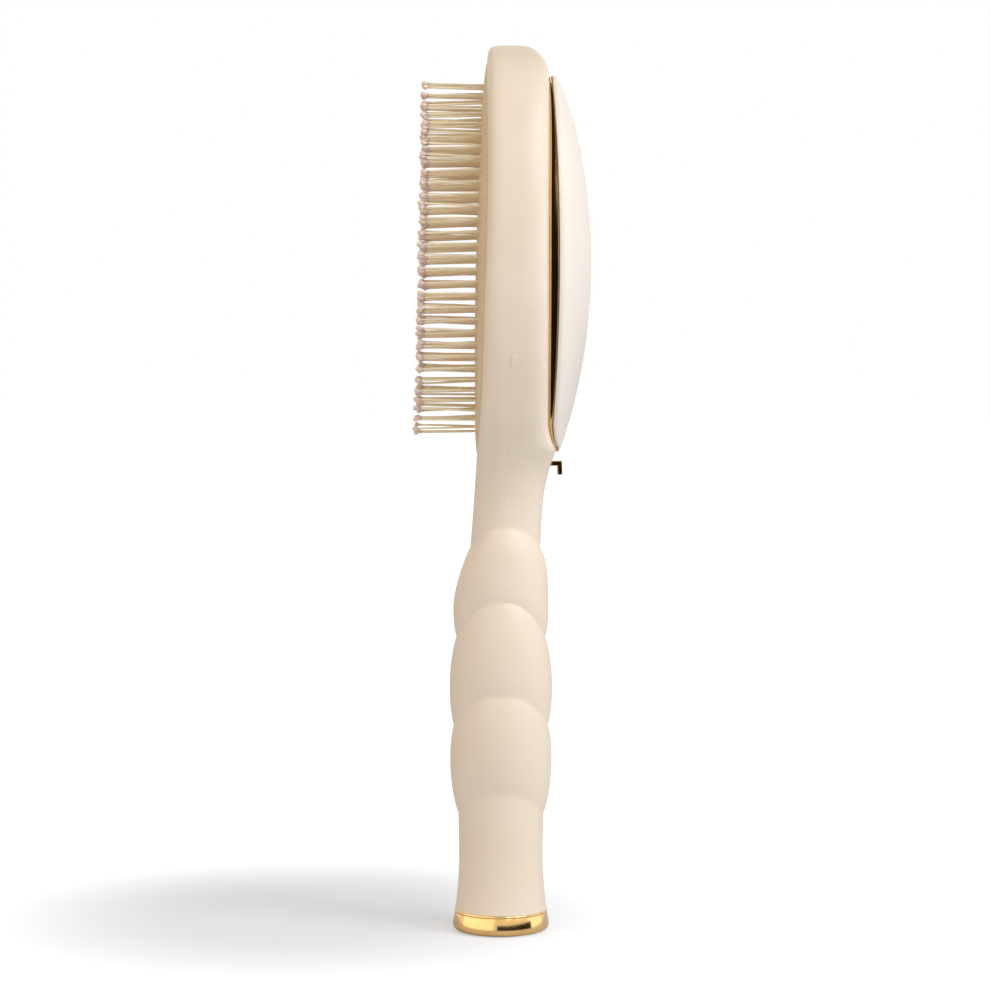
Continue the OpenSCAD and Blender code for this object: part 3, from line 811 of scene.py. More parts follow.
@dataclass
class ShellHalf:
    """One half of the body: outer skin, rounded opening, inner skin and seam face, in millimetres."""

    side: int
    open_w: float
    open_l: float
    open_z: float
    lip: float
    columns: int = 30
    lip_steps: int = 5
    arc_rows: int = 72
    handle_rows: int = 150
    tip_rows: int = 14
    groove_w: float = 0.22
    edge_share: float = 2.2
    samples: int = 240
    bunching: float = 1.7
    groove: Curve = Curve((0, 0.004), (84, 0.004), (93, 0.05), (150, 0.05), (156, 0.004), (240, 0.004))

    def inside(self, y: float, z: float, grow: float) -> bool:
        """True within the opening, grown by a margin."""
        s = (z - self.open_z) / (self.open_l / 2 + grow)
        return abs(s) < 1 and abs(y) < (self.open_w / 2 + grow) * math.sqrt(1 - s * s) * (1 + EGG * s)

    def last_angle(self, w: float, inset: float, grow: float) -> float:
        """Angle at which a ring meets the opening, or 90 where it has none."""
        _, y, z = FORM.point(w, 90, self.side, inset)
        if not self.inside(y, z, grow):
            return 90.0
        return turning(lambda a: self.inside(*FORM.point(w, a, self.side, inset)[1:], grow))

    def strip(self, w: float, inset: float, grow: float, groove: float) -> list[Point]:
        """Points of a ring from the seam to the opening or the middle, evenly spaced along it.

        Args:
            w: height of the ring.
            inset: how far it lies under the surface.
            grow: margin round the opening.
            groove: depth of the seam's groove.

        Returns:
            The points, from the seam on.
        """
        last = self.last_angle(w, inset, grow)
        fine = self.samples
        angles = [last * (k / fine) ** self.bunching for k in range(fine + 1)]
        line = [Vector(FORM.point(w, a, self.side, inset)) for a in angles]
        lengths = [0.0]
        for a, b in zip(line, line[1:]):
            lengths.append(lengths[-1] + (b - a).length)
        whole = lengths[-1]
        first = min(self.groove_w, whole / 8)
        second = self.edge_share * first
        wanted = [0.0, first, second]
        wanted += [second + (whole - second) * k / (self.columns - 1) for k in range(1, self.columns)]
        points, k = [], 0
        for want in wanted:
            while k < fine - 1 and lengths[k + 1] < want:
                k += 1
            span = lengths[k + 1] - lengths[k]
            share = (want - lengths[k]) / span if span > 1e-9 else 0.0
            points.append(tuple(line[k].lerp(line[k + 1], min(max(share, 0.0), 1.0))))
        if groove:
            points[0] = FORM.point(w, 0, self.side, inset + groove)
        points[-1] = tuple(line[-1])
        return points

    def rows(self) -> list[tuple[float, float, float | None]]:
        """Heights of the outer and inner rings, with the opening's angle on the rings that meet it.

        Returns:
            Outer height, inner height and angle or None, from the foot up.
        """
        foot, top = FORM.foot, FORM.height
        half_out, half_in = self.open_l / 2 + self.lip, self.open_l / 2
        low, high = self.open_z - half_out, self.open_z + half_out
        made: list[tuple[float, float, float | None]] = []
        for k in range(self.handle_rows):
            u = k / self.handle_rows
            made.append((foot + (low - foot) * u, foot + (self.open_z - half_in - foot) * u, None))
        for k in range(self.arc_rows + 1):
            a = -90 + 180 * k / self.arc_rows
            s = math.sin(math.radians(a))
            made.append((self.open_z + half_out * s, self.open_z + half_in * s, a))
        for k in range(1, self.tip_rows + 1):
            u = math.sin(math.pi / 2 * k / self.tip_rows)
            made.append((high + (top - high) * u,
                         self.open_z + half_in + (top - FORM.wall - self.open_z - half_in) * u, None))
        return made

    def mesh(self) -> Solid:
        """Points and faces of the whole half.

        Returns:
            Points and faces.
        """
        points: list[Point] = []
        faces: list[list[int]] = []
        chains: list[tuple[list[int], list[int], list[int] | None]] = []

        def add(some: Sequence[Point]) -> list[int]:
            """Keeps some points and returns their numbers."""
            points.extend(some)
            return list(range(len(points) - len(some), len(points)))

        for w_out, w_in, angle in self.rows():
            outer = add(self.strip(w_out, 0.0, self.lip, self.groove.at(w_out)))
            inner = add(self.strip(w_in, FORM.wall, 0.0, 0.0))
            edge = None
            if angle is not None:
                lip = []
                for k in range(1, self.lip_steps + 1):
                    a = math.pi / 2 * k / self.lip_steps
                    grow = 2 * self.lip * (1 - math.sin(a))
                    y, up = egg(self.open_w + grow, self.open_l + grow, angle)
                    z = self.open_z + up
                    drop = self.side * self.lip * (1 - math.cos(a))
                    lip.append((FORM.x_at(y, z, self.side) - drop, -abs(y), z))
                edge = [outer[-1], *add(lip), inner[-1]]
            chains.append((outer, inner, edge))
        for (o, n, e), (o2, n2, e2) in zip(chains, chains[1:]):
            for a, b in ((o, o2), (n, n2), *(((e, e2),) if e and e2 else ())):
                faces += [[a[j], a[j + 1], b[j + 1], b[j]] for j in range(len(a) - 1)]
            faces.append([o[0], o2[0], n2[0], n[0]])
        (o, n, _), (o2, n2, _) = chains[0], chains[-1]
        faces += [[o[j], o[j + 1], n[j + 1], n[j]] for j in range(len(o) - 1)]
        middle = add([(FORM.seam_x(FORM.height), 0.0, FORM.height),
                      (FORM.seam_x(FORM.height), 0.0, FORM.height - FORM.wall)])
        for chain, hub in ((o2, middle[0]), (n2, middle[1])):
            faces += [[hub, chain[j], chain[j + 1]] for j in range(len(chain) - 1)]
        faces.append([o2[0], n2[0], middle[1], middle[0]])
        return mirrored(points, faces)


@dataclass
class BodyShells:
    """The two cream shells with the small square mark beside their parting line.

    Each opening is given by its width, length and the radius of its lip.
    """

    pad: Point = (57.0, PAD_L, 0.7)
    tray: Point = (49.3, LID_L - 7.5, 0.2)
    pocket_r: float = 4.83
    pocket_w: float = 18.3
    slot: tuple[Point, Point] = ((7, -3.3, TAB_TOP - 3.15), (SEAT_X + 3, 3.3, TAB_TOP + 0.3))
    mark_at: Pair = (3.35, 155.0)
    mark_size: Point = (1.5, 0.34, 3.1)
    mark_edge: float = 0.14

    def build(self) -> None:
        """Makes the front and back halves and the mark."""
        shell = paint(Finish.SHELL)
        wide, long, lip = self.pad
        front = new_piece("shell_front", *ShellHalf(-1, wide, long, PAD_Z, lip).mesh(), shell)
        seat(front, "body", Finish.SHELL, "front_shell")
        wide, long, lip = self.tray
        back = new_piece("shell_back", *ShellHalf(1, wide, long, LID_Z, lip).mesh(), shell)
        x, z = HINGE
        pocket = rod((x, -self.pocket_w / 2, z), (x, self.pocket_w / 2, z), self.pocket_r, 64)
        cut(back, pocket, box(*self.slot))
        seat(back, "body", Finish.SHELL, "back_shell")
        self.mark()

    def surface(self, x: float, z: float) -> Vector:
        """The point of the back half's side at a depth and a height."""
        return Vector(FORM.point(z, turning(lambda a: FORM.point(z, a, 1)[0] >= x), 1))

    def mark(self) -> None:
        """Makes the small square mark beside the parting line."""
        x, z = self.mark_at
        wide, deep, tall = self.mark_size
        middle = self.surface(x, z)
        along = (self.surface(x, z + 1) - self.surface(x, z - 1)).normalized()
        across = (self.surface(x + 0.5, z) - self.surface(x - 0.5, z)).normalized()
        out = across.cross(along).normalized()
        points, faces = box((-1, -1, -1), (1, 1, 1))
        placed = [tuple(middle + across * (a * wide / 2) + out * (b * deep / 2) + along * (c * tall / 2))
                  for a, b, c in points]
        piece = new_piece("mould_mark", placed, faces, paint(Finish.SHELL), sharp=60)
        softened(piece, self.mark_edge, 3)
        seat(piece, "body", Finish.SHELL)


@dataclass
class Cushion:
    """The domed pad, the pins that stand in it and their ball tips, in millimetres."""

    width: float = 57.0
    length: float = PAD_L
    crown: float = 2.3
    recess: float = 0.4
    power: float = 0.55
    thickness: float = 2.0
    gap: float = 0.15
    around: int = 120
    shares: tuple[float, ...] = (
        0.08, 0.18, 0.28, 0.38, 0.48, 0.58, 0.67, 0.75, 0.82, 0.88, 0.92, 0.95, 0.975)
    under_shares: Point = (0.75, 0.5, 0.25)
    flange: Pair = (0.6, 3.4)
    reach: float = 17.5
    pin_r: float = 0.26
    ball_r: float = 0.675
    pitch: float = 3.35
    inset: float = 7.0
    ovals: int = 6
    guide_steps: int = 144
    rooted: float = 0.4
    sides: int = 8

    def depth(self, q: float) -> float:
        """Depth of the pad's face behind the front rim at a share of its oval."""
        return self.recess - (self.crown + self.recess) * max(1 - q * q, 0.0) ** self.power

    def ring(self, q: float, depth: float, grow: float = 0.0) -> list[Point]:
        """A ring of the pad at a share of its oval and a depth.

        Args:
            q: share of the oval.
            depth: depth behind the front rim.
            grow: how much wider it is.

        Returns:
            Its points.
        """
        spots = [egg(q * self.width + 2 * grow, q * self.length + 2 * grow, 360 * k / self.around)
                 for k in range(self.around)]
        return [(FORM.face(PAD_Z + up, -1) + depth, y, PAD_Z + up) for y, up in spots]

    def pad(self) -> bpy.types.Object:
        """Makes the domed pad.

        Returns:
            The pad.
        """
        rings = [self.ring(q, self.depth(q)) for q in self.shares]
        near, deep = self.flange
        rings += [self.ring(0.99, self.depth(0.99) + 0.1), self.ring(1, self.recess + near, -self.gap),
                  self.ring(1, deep, -self.gap), self.ring(0.9, self.depth(0.9) + self.thickness + near)]
        rings += [self.ring(q, self.depth(q) + self.thickness) for q in self.under_shares]
        middle = FORM.face(PAD_Z, -1) + self.depth(0)
        skin = ringed(rings, (middle, 0.0, PAD_Z), (middle + self.thickness, 0.0, PAD_Z))
        return new_piece("cushion", *skin, paint(Finish.CUSHION), sharp=50)

    def guides(self) -> bpy.types.Object:
        """Makes the egg-shaped lines that the pins stand along, each vertex at a pin tip's depth.

        Returns:
            The lines, as one object.
        """
        points: list[Vector] = []
        edges: list[tuple[int, int]] = []
        lengths: list[float] = []
        for k in range(self.ovals):
            off = 2 * (self.inset + k * self.pitch)
            base = len(points)
            for j in range(self.guide_steps):
                y, up = egg(self.width - off, self.length - off, 360 * j / self.guide_steps)
                q = math.hypot(2 * y / self.width, 2 * up / self.length)
                points.append(Vector((FORM.face(PAD_Z + up, -1) - self.reach, y, PAD_Z + up)) * MM)
                lengths.append((self.reach + self.depth(q) + self.rooted) * MM)
                edges.append((base + j, base + (j + 1) % self.guide_steps))
        mesh = bpy.data.meshes.new("pin_guides")
        mesh.from_pydata(points, edges, [])
        mesh.attributes.new("pin_length", "FLOAT", "POINT").data.foreach_set("value", lengths)
        return added("pin_guides", mesh)

    def lathe(self, name: str, profile: Sequence[Pair], finish: Finish) -> bpy.types.Object:
        """Makes a small turned solid about Z from [radius, height] pairs, closed at both ends.

        Args:
            name: its name.
            profile: radius and height, in order.
            finish: its finish.

        Returns:
            The object.
        """
        rings = [[(x, y, z) for x, y in circle(r, self.sides)] for r, z in profile[1:-1]]
        return new_piece(name, *ringed(rings, (0, 0, profile[0][1]), (0, 0, profile[-1][1])),
                         paint(finish), sharp=60)


class PinGraph:
    """Geometry Nodes that stand a shaft and a ball tip at even steps along the guide lines."""

    def __init__(self) -> None:
        """Makes the node group with its named inputs."""
        self.group = bpy.data.node_groups.new("Pin rows", "GeometryNodeTree")
        face = self.group.interface
        face.new_socket("Geometry", in_out="INPUT", socket_type="NodeSocketGeometry")
        self.sockets = {}
        for name, kind in (("Shaft", "NodeSocketObject"), ("Tip", "NodeSocketObject"),
                           ("Shaft Material", "NodeSocketMaterial"), ("Tip Material", "NodeSocketMaterial"),
                           ("Pitch", "NodeSocketFloat"), ("Splay", "NodeSocketFloat"),
                           ("Uneven", "NodeSocketFloat"), ("Seed", "NodeSocketInt")):
            self.sockets[name] = face.new_socket(name, in_out="INPUT", socket_type=kind).identifier
        face.new_socket("Geometry", in_out="OUTPUT", socket_type="NodeSocketGeometry")
        self.inlet = self.group.nodes.new("NodeGroupInput")
        self.wire()

    def add(self, kind: str, settings: dict | None = None, **inputs: object) -> bpy.types.Node:
        """Adds a node with its properties and its inputs, named with underscores."""
        return new_node(self.group, kind, settings, {k.replace("_", " "): v for k, v in inputs.items()})

    def maths(self, operation: str, first: object, second: object) -> bpy.types.NodeSocket:
        """A Vector Math node of two inputs."""
        made = new_node(self.group, "ShaderNodeVectorMath", {"operation": operation}, {0: first, 1: second})
        return made.outputs["Value" if operation == "LENGTH" else "Vector"]

    def wire(self) -> None:
        """Joins the nodes."""
        inlet = self.inlet.outputs
        line = self.add("GeometryNodeMeshToCurve", Mesh=inlet["Geometry"])
        spots = self.add("GeometryNodeCurveToPoints", {"mode": "LENGTH"},
                         Curve=line.outputs[0], Length=inlet["Pitch"])
        spread = self.add("ShaderNodeCombineXYZ", X=inlet["Uneven"], Y=inlet["Splay"], Z=inlet["Splay"])
        low = self.maths("MULTIPLY", spread.outputs[0], (-1, -1, -1))
        chance = self.add("FunctionNodeRandomValue", {"data_type": "FLOAT_VECTOR"},
                          Min=low, Max=spread.outputs[0], Seed=inlet["Seed"])
        length = self.add("GeometryNodeInputNamedAttribute", {"data_type": "FLOAT"}, Name="pin_length")
        back = self.add("ShaderNodeCombineXYZ", X=length.outputs[0])
        place = self.add("GeometryNodeInputPosition")
        root = self.maths("ADD", place.outputs[0], back.outputs[0])
        lean = self.maths("SUBTRACT", chance.outputs[0], back.outputs[0])
        tall = self.maths("LENGTH", lean, (0, 0, 0))
        turn = self.add("FunctionNodeAlignRotationToVector", {"axis": "Z"}, Vector=lean)
        stretch = self.add("ShaderNodeCombineXYZ", X=1.0, Y=1.0, Z=tall)
        tips = self.maths("ADD", place.outputs[0], chance.outputs[0])
        parts = []
        for name, spot, size in (("Shaft", root, stretch.outputs[0]), ("Tip", tips, (1, 1, 1))):
            source = self.add("GeometryNodeObjectInfo", Object=inlet[name])
            stood = self.add("GeometryNodeSetPosition", Geometry=spots.outputs["Points"], Position=spot)
            many = self.add("GeometryNodeInstanceOnPoints", Points=stood.outputs[0],
                            Instance=source.outputs["Geometry"], Rotation=turn.outputs[0], Scale=size)
            real = self.add("GeometryNodeRealizeInstances", Geometry=many.outputs[0])
            dressed = self.add("GeometryNodeSetMaterial", Geometry=real.outputs[0],
                               Material=inlet[f"{name} Material"])
            parts.append(dressed.outputs[0])
        both = self.add("GeometryNodeJoinGeometry")
        for part in reversed(parts):
            plug(both.inputs[0], part)
        new_node(self.group, "NodeGroupOutput", inputs={0: both.outputs[0]})


@dataclass
class PinField:
    """The standing pins, made by Geometry Nodes and kept as a plain mesh.

    The pattern of the shaft is nearly a metre long, as each pin stretches it by its own length in metres.
    """

    cushion: Cushion
    splay: float = 0.82
    uneven: float = 0.4
    seed: int = 7
    pattern: float = 998.0

    def build(self) -> bpy.types.Object:
        """Makes the pins and removes the modifier and the helpers.

        Returns:
            The pins, as one piece.
        """
        c = self.cushion
        r, b = c.pin_r, c.ball_r
        shaft = c.lathe("shaft", [(0, 0), (r * 1.2, 0), (r, self.pattern), (0, self.pattern)], Finish.PIN)
        tip = c.lathe("tip", [(0, -2.2), (r, -2.2), (r * 1.04, -1.75), (r * 1.35, -1.3), (b * 0.95, -0.95),
                              (b, -0.66), (b * 0.84, -0.28), (b * 0.45, -0.06), (0, 0)], Finish.TIP)
        piece = c.guides()
        graph = PinGraph()
        change = piece.modifiers.new("pins", "NODES")
        change.node_group = graph.group
        values = {"Shaft": shaft, "Tip": tip, "Shaft Material": paint(Finish.PIN),
                  "Tip Material": paint(Finish.TIP), "Pitch": c.pitch * MM,
                  "Splay": self.splay * MM, "Uneven": self.uneven * MM, "Seed": self.seed}
        for name, item in values.items():
            change[graph.sockets[name]] = item
        baked(piece)
        for helper in (shaft, tip):
            bpy.data.objects.remove(helper)
        piece.name = "pins"
        piece.data.shade_smooth()
        log.info("pins: %d faces", len(piece.data.polygons))
        return piece


@dataclass
class Lid:
    """The domed lid with its hinge knuckle and bosses, in millimetres.

    A boss is given by its radius and depth. The knuckle is given by its half width, the height of its web
    over the axis and how far the web reaches into the lid.
    """

    width: float = 55.0
    length: float = LID_L
    dome: float = 8.25
    power: float = 0.75
    edge: float = 0.9
    wall: float = 1.6
    gap: float = 0.14
    around: int = 160
    rim_round: float = 0.2
    trim_side: float = 2.4
    trim_tips: Pair = (0.48, 0.72)
    thinning: float = 0.7
    rim_power: int = 8
    rim_drop: float = 0.04
    boss_across: float = 0.36
    boss_size: Pair = (2, 3.75)
    knuckle: Point = (4, 0.72, 0.45)
    shares: tuple[float, ...] = (
        0.1, 0.2, 0.3, 0.4, 0.5, 0.6, 0.68, 0.76, 0.83, 0.88, 0.92, 0.95, 0.972, 0.988, 0.997)
    inner_shares: tuple[float, ...] = (0.97, 0.92, 0.84, 0.72, 0.55, 0.3)

    def trim_top(self, degrees: float) -> float:
        """Height of the trim under the rim at an angle, lowest at the tips."""
        tip = self.trim_tips[math.sin(math.radians(degrees)) > 0]
        return tip + (self.trim_side - tip) * math.cos(math.radians(degrees)) ** 2

    def rise(self, degrees: float) -> float:
        """How far the seat climbs the lip at an angle."""
        return FORM.seat(LID_Z + self.length / 2 * math.sin(math.radians(degrees))) - SEAT_X

    def rim(self, degrees: float) -> float:
        """Depth of the rim's lower edge at an angle."""
        return SEAT_X + self.rise(degrees) + self.trim_top(degrees) + self.gap

    def face(self, q: float, degrees: float) -> float:
        """Depth of the dome at a share of its oval and an angle.

        Args:
            q: share of the oval.
            degrees: the angle.

        Returns:
            Depth along X.
        """
        at_rim, top = q ** self.rim_power, self.trim_top(0)
        thin = self.thinning * max(-math.sin(math.radians(degrees)), 0.0) ** self.rim_power
        return (SEAT_X + top + self.gap + (self.trim_top(degrees) - top) * q * q + self.rise(degrees) * at_rim
                + self.edge * (1 - thin * at_rim) + self.dome * max(1 - q * q, 0.0) ** self.power)

    def ring(self, q: float, inset: float, rise: Callable[[float], float]) -> list[Point]:
        """A ring of the lid at a share of its oval, with its depth at each angle.

        Args:
            q: share of the oval.
            inset: how far inside the edge.
            rise: depth at an angle.

        Returns:
            Its points.
        """
        made = []
        for k in range(self.around):
            a = 360 * k / self.around
            y, up = egg(q * (self.width - 2 * inset), q * (self.length - 2 * inset), a)
            made.append((rise(a), y, LID_Z + up))
        return made

    def build(self) -> bpy.types.Object:
        """Makes the lid.

        Returns:
            The lid.
        """
        skins = [self.ring(q, 0, lambda a, q=q: self.face(q, a)) for q in self.shares]
        skins += [self.ring(1, 0, lambda a: self.face(1, a) - self.rim_drop),
                  self.ring(1, 0, lambda a: self.rim(a) + self.rim_round),
                  self.ring(1, self.rim_round, self.rim), self.ring(1, self.wall, self.rim)]
        for q in self.inner_shares:
            skins.append(self.ring(q, self.wall, lambda a, q=q: max(
                self.face(q, a) - self.wall, self.rim(a) * (q > 0.9))))
        top = self.face(0, 0)
        dome = ringed(skins, (top, 0, LID_Z), (top - self.wall, 0, LID_Z))
        x, z = HINGE
        half, high, into = self.knuckle
        knuckle = rod((x, -half, z), (x, half, z), KNUCKLE_R)
        web = box((x, -half, z - KNUCKLE_R), (self.rim(90) + into, half, z + high))
        liner = self.rim(0) + 1
        radius, deep = self.boss_size
        bosses = []
        for across, up in product((-1, 1), repeat=2):
            y, z = across * self.width / 2 * self.boss_across, LID_Z + up * self.length / 4
            bosses.append(rod((liner, y, z), (liner + deep, y, z), radius))
        solids = merged(dome, *bosses, knuckle, web)
        piece = new_piece("lid_dome", *solids, paint(Finish.LID), sharp=40)
        return seat(piece, "lid", Finish.LID, "lid_shell")


@dataclass
class Trim:
    """The gold ring between the body and the lid, open at the hinge, with its two ears, in millimetres.

    An ear is given by its length, its depth below the axis and its rise over the seat. The bead's section
    runs as shares of the ring's width and of the trim's height.
    """

    lid: Lid
    width: float = 3.0
    notch: float = 4.3
    ear: Point = (4, 2.9, 0.36)
    around: int = 200
    bead: tuple[Pair, ...] = (
        (1, -0.06), (0.1, -0.06), (0.04, 0.06), (0.012, 0.18), (0, 0.4), (0, 0.68),
        (0.014, 0.86), (0.05, 0.95), (0.11, 0.99), (0.2, 1), (1, 1))

    def build(self) -> bpy.types.Object:
        """Makes the ring and its ears.

        Returns:
            The ring.
        """
        gap = math.degrees(math.asin(self.notch / (self.lid.width / 2 * (1 + EGG))))
        rings = []
        for j in range(self.around + 1):
            a = 90 + gap + (360 - 2 * gap) * j / self.around
            ring = []
            for share, rise in self.bead:
                inset = 2 * self.width * share
                y, up = egg(self.lid.width - inset, self.lid.length - inset, a)
                ring.append((FORM.seat(LID_Z + up) + self.lid.trim_top(a) * rise, y, LID_Z + up))
            rings.append(ring)
        m = len(self.bead)
        points, faces = ringed(rings)
        last = len(rings) - 1
        faces += [list(range(m))[::-1], [last * m + k for k in range(m)]]
        x, z = HINGE
        long, deep, rise = self.ear
        ears = []
        for side in (-1, 1):
            low, high = sorted((side * self.notch, side * (self.notch + long)))
            ears += [rod((x, low, z), (x, high, z), KNUCKLE_R),
                     box((x, low, z - deep), (SEAT_X + rise, high, z - rise))]
        solids = merged((points, faces), *ears)
        piece = new_piece("trim_band", *solids, paint(Finish.GOLD), sharp=50)
        return seat(piece, "body", Finish.GOLD, "trim_ring")


@dataclass
class ThumbTab:
    """The gold thumb tab and its carriage in the neck, in millimetres.

    The carriage is given by its front, back, half width and height.
    """

    outer: float = SEAT_X + 3.9
    thick: float = 1.35
    half: float = 3.0
    leg: float = 3.8
    top: float = TAB_TOP
    edge: float = 0.32
    root: float = 3.2
    carriage: tuple[float, float, float, float] = (3, 7, 3.15, 8.5)

    def build(self) -> bpy.types.Object:
        """Makes the bent tab with softened edges and the carriage.

        Returns:
            The tab.
        """
        inner, foot, under = self.outer - self.thick, self.top - self.leg, self.top - self.thick
        profile = [(self.root, self.top), (self.outer, self.top), (self.outer, foot),
                   (inner, foot), (inner, under), (self.root, under)]
        tab = prism(*([(x, y, z) for x, z in profile] for y in (-self.half, self.half)))
        front, back, half, deep = self.carriage
        carriage = box((front, -half, self.top - deep), (back, half, self.top))
        piece = new_piece("thumb_tab", *merged(tab, carriage), paint(Finish.GOLD), sharp=30)
        softened(piece, self.edge, 4)
        shade(piece.data, sharp=40)
        return seat(piece, "release", Finish.GOLD, "release_slide")


@dataclass
class BaseCap:
    """The turned gold cap under the handle, in millimetres, its section as radius and height."""

    around: int = 160
    profile: tuple[Pair, ...] = (
        (5.3, 2.8), (5.3, 1.15), (10.65, 1.15), (10.65, 0.34), (11.4, 0.3), (11.9, 0.32), (12.3, 0.46),
        (12.62, 0.68), (12.88, 0.98), (13.04, 1.36), (13.1, 1.8), (13.08, 2.1), (13.02, 2.6), (12.9, 3.3),
        (12.74, 4.1), (12.55, 4.85), (12.47, 5.05), (12.45, 5.11), (12.5, 5.15), (12.6, 5.26), (12.65, 5.4),
        (12.66, 5.52), (12.62, 5.68), (12.54, 5.8), (12.42, 5.87), (12.3, 5.9), (1.5, 5.9), (1.5, 2.8))

    def build(self) -> bpy.types.Object:
        """Makes the cap.

        Returns:
            The cap.
        """
        rings = [[(x, y, z) for x, y in circle(r, self.around)] for r, z in self.profile]
        piece = new_piece("base_ring", *ringed(rings, closed=True), paint(Finish.GOLD), sharp=32)
        return seat(piece, "body", Finish.GOLD, "base_cap")


@dataclass
class Spring:
    """The coil spring under the tab's carriage, which shortens as the tab is pressed, in millimetres."""

    wire: float = 0.5
    turns: int = 4
    steps: int = 16
    sides: int = 8
    travel: float = 1.5

    def build(self) -> bpy.types.Object:
        """Makes the spring where its node stands, with a mesh of its own.

        Returns:
            The spring.
        """
        low, high = (Vector(corner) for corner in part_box("release_spring"))
        foot, top = low / MM, high / MM
        middle = (foot + top) / 2
        half, coil = self.wire / 2, (top.x - foot.x - self.wire) / 2
        count = self.turns * self.steps
        rings, hubs = [], []
        for k in range(count + 1):
            a = math.tau * k / self.steps
            z = foot.z + half + (top.z - foot.z - self.wire) * k / count
            hubs.append((middle.x + coil * math.cos(a), middle.y + coil * math.sin(a), z))
            ring = []
            for j in range(self.sides):
                b = math.tau * j / self.sides
                r = coil + half * math.cos(b)
                ring.append((middle.x + r * math.cos(a), middle.y + r * math.sin(a), z + half * math.sin(b)))
            rings.append(ring)
        skin = ringed(rings, hubs[0], hubs[-1])
        piece = new_piece("tab_spring", *skin, paint(Finish.STEEL), sharp=50)
        seat(piece, "body", Finish.STEEL, "release_spring")
        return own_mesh(piece)


KEPT = {
    Finish.INNER: ("pad_backplate", "compartment_tray", "lid_liner", "slide_guide", "handle_plug"),
    Finish.STEEL: ("liner_screws", "tray_screws", "hinge_pin", "cap_screw", "ballast"),
    Finish.FOOT: ("foot_pad",),
}
"""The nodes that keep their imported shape, by the finish that they take."""


@dataclass(frozen=True)
class Lamp:
    """A square area light: its name, place, aim, size in metres, power in watts and colour."""

    name: str
    place: Point
    aim: Point
    size: float
    power: float
    color: Point


LAMPS = (
    Lamp("key", (0.72, -0.48, 0.72), (0, 0, 0.12), 0.5, 5.6, (0.96, 1.0, 1.07)),
    Lamp("front", (0.34, -0.82, 0.62), (0, 0, 0.12), 0.22, 1.8, (0.98, 1.0, 1.03)),
    Lamp("fill", (-0.92, -0.5, 0.36), (0, 0, 0.12), 2.0, 8.6, (1.0, 0.9, 0.78)),
    Lamp("rim", (0.95, 0.1, 0.25), (0, 0, 0.12), 0.8, 1.1, (1.0, 0.98, 0.94)),
    Lamp("top", (0.1, -0.1, 1.2), (0, 0, 0.1), 0.6, 0.45, (1, 1, 1)),
)
"""The studio's lights: a soft key from the right, a wide warm fill from the left and three small ones."""


def aimed(name: str, data: bpy.types.ID, place: Point, aim: Point) -> bpy.types.Object:
    """Adds a lamp or a camera that looks at a point.

    Args:
        name: its name.
        data: the lamp or camera.
        place: where it stands.
        aim: the point it looks at.

    Returns:
        The object.
    """
    piece = added(name, data)
    piece.location = place
    piece.rotation_mode = "QUATERNION"
    piece.rotation_quaternion = (Vector(aim) - Vector(place)).to_track_quat("-Z", "Y")
    return piece


def staged(name: str, points: Sequence[Point], faces: Sequence[Sequence[int]],
           material: bpy.types.Material) -> None:
    """Adds a piece of the studio, which is not part of the brush.

    Args:
        name: its name.
        points: its points, in metres.
        faces: its faces.
        material: its finish.
    """
    mesh = bpy.data.meshes.new(name)
    mesh.from_pydata(points, [], faces)
    mesh.materials.append(material)
    piece = added(name, mesh)


